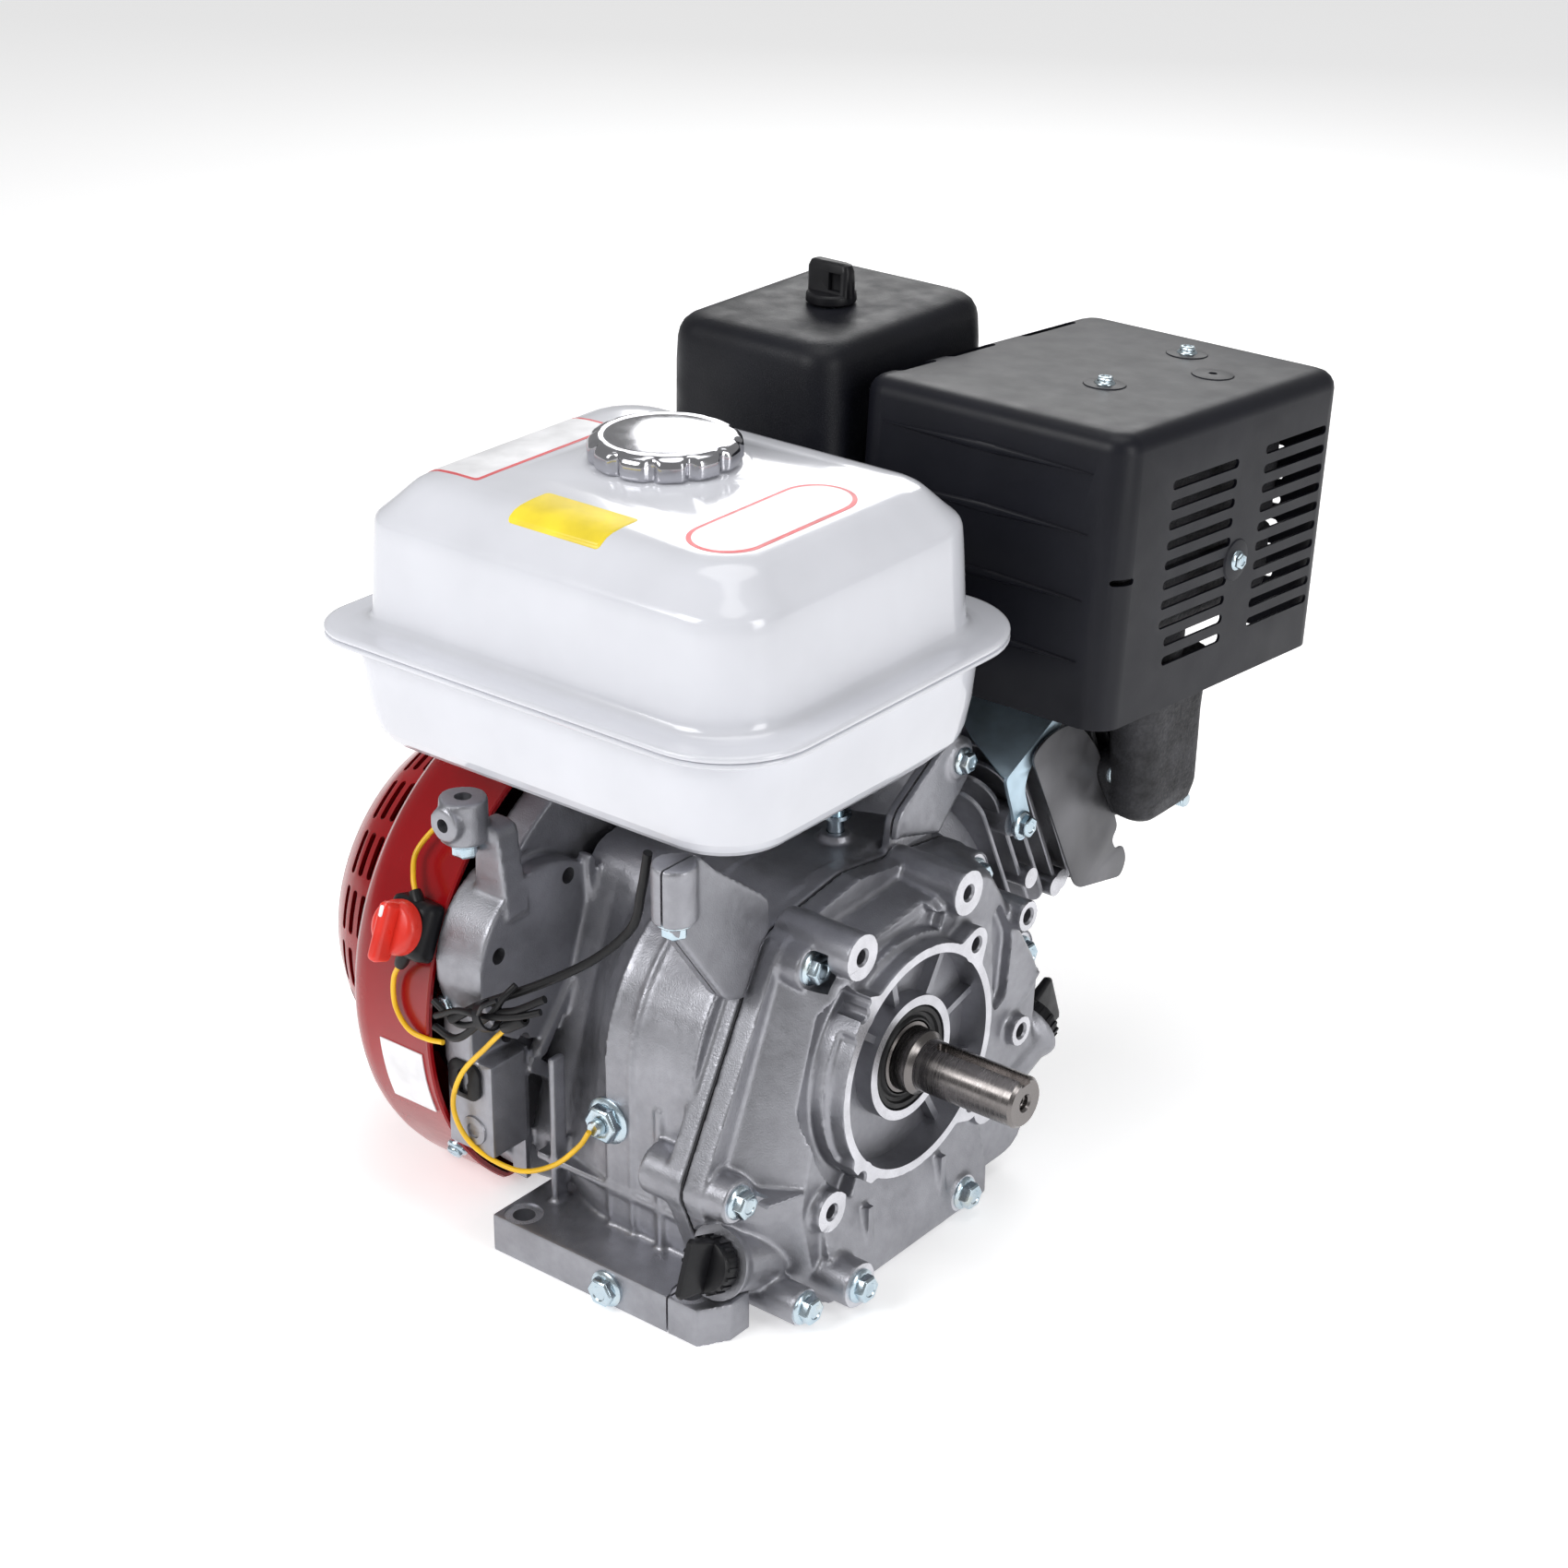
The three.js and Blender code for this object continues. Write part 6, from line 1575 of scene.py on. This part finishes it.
def leads():
    for node, (radius, look, slot_name, points) in LEADS.items():
        wire = tube(smooth_path(points), radius, 14)
        piece(node + "_sheath", wire, ENGINE, look, slot_name, [node])
    wires = [tube(smooth_path(points), radius, 12) for radius, points in BUNDLES]
    piece("tied_wires", gathered(wires), ENGINE, RUBBER, "black_rubber")
    tie = turned("z", [(-2.4, 6.4), (-2.4, 7.6), (2.4, 7.6), (2.4, 6.4)],
                 Matrix.Translation(KNOT) @ Vector((0, 0,
                                                    1)).rotation_difference(Vector((1, 0,
                                                            0.5))).to_matrix().to_4x4(), 32, True)
    tail = tube(smooth_path([KNOT + Vector(p) for p in ((0, -6, 3), (5, -8, 10), (12, -6, 15))]), 1.1, 10)
    piece("cable_tie", gathered([tie, tail]), ENGINE, BLACK_PLASTIC, "black_rubber")
    sleeves = []
    for start, end in (((-112, -120.3, 173.3), (-104, -124, 164)), ((-48, -128, 130), (-38, -128, 137)),
                       ((-113, -131, 143), (-108, -131, 152))):
        a, b = Vector(start), Vector(end)
        place = Matrix.Translation(a) @ Vector((0, 0, 1)).rotation_difference(b - a).to_matrix().to_4x4()
        length = (b - a).length
        sleeves.append(turned("z",
                              [(-3, 1.5), (-3, 2.8), (0, 3.4), (length, 3.4), (length + 1, 2.8),
                               (length + 1, 1.5)], place, 20, True))
    piece("connector_sleeves", gathered(sleeves), ENGINE, RUBBER, "black_rubber")


# ---- Everything ----
LOOKS = {"cast_aluminium": CAST, "dark_casting": DARK, "machined_steel": STEEL, "cast_iron": IRON,
         "zinc": ZINC,
         "white_paint": WHITE, "red_paint": RED, "red_plastic": RED_PLASTIC, "black_paint": BLACK_PAINT,
         "black_plastic": BLACK_PLASTIC, "black_rubber": RUBBER, "chrome": CHROME, "gasket": GASKET, "foam": FOAM,
         "yellow_wire": YELLOW, "rope": ROPE, "ceramic": CERAMIC}

studio()
for build in (tank_upper, tank_lower, fuel_cap, blank_labels, air_cleaner, muffler_guard, muffler,
              exhaust_elbow, barrel,
              cylinder_head, side_sheet, muffler_bracket, crankcase_body, cover_casting, oil_caps, crank_and_seals,
              side_fittings, fan_shroud, recoil_starter, engine_switch, carburettor_side, governor_controls, leads):
    build()

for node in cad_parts.values():
    slot_name = node.data.materials[0].name.split(".")[0]
    node.data.materials.clear()
    node.data.materials.append(LOOKS[slot_name])
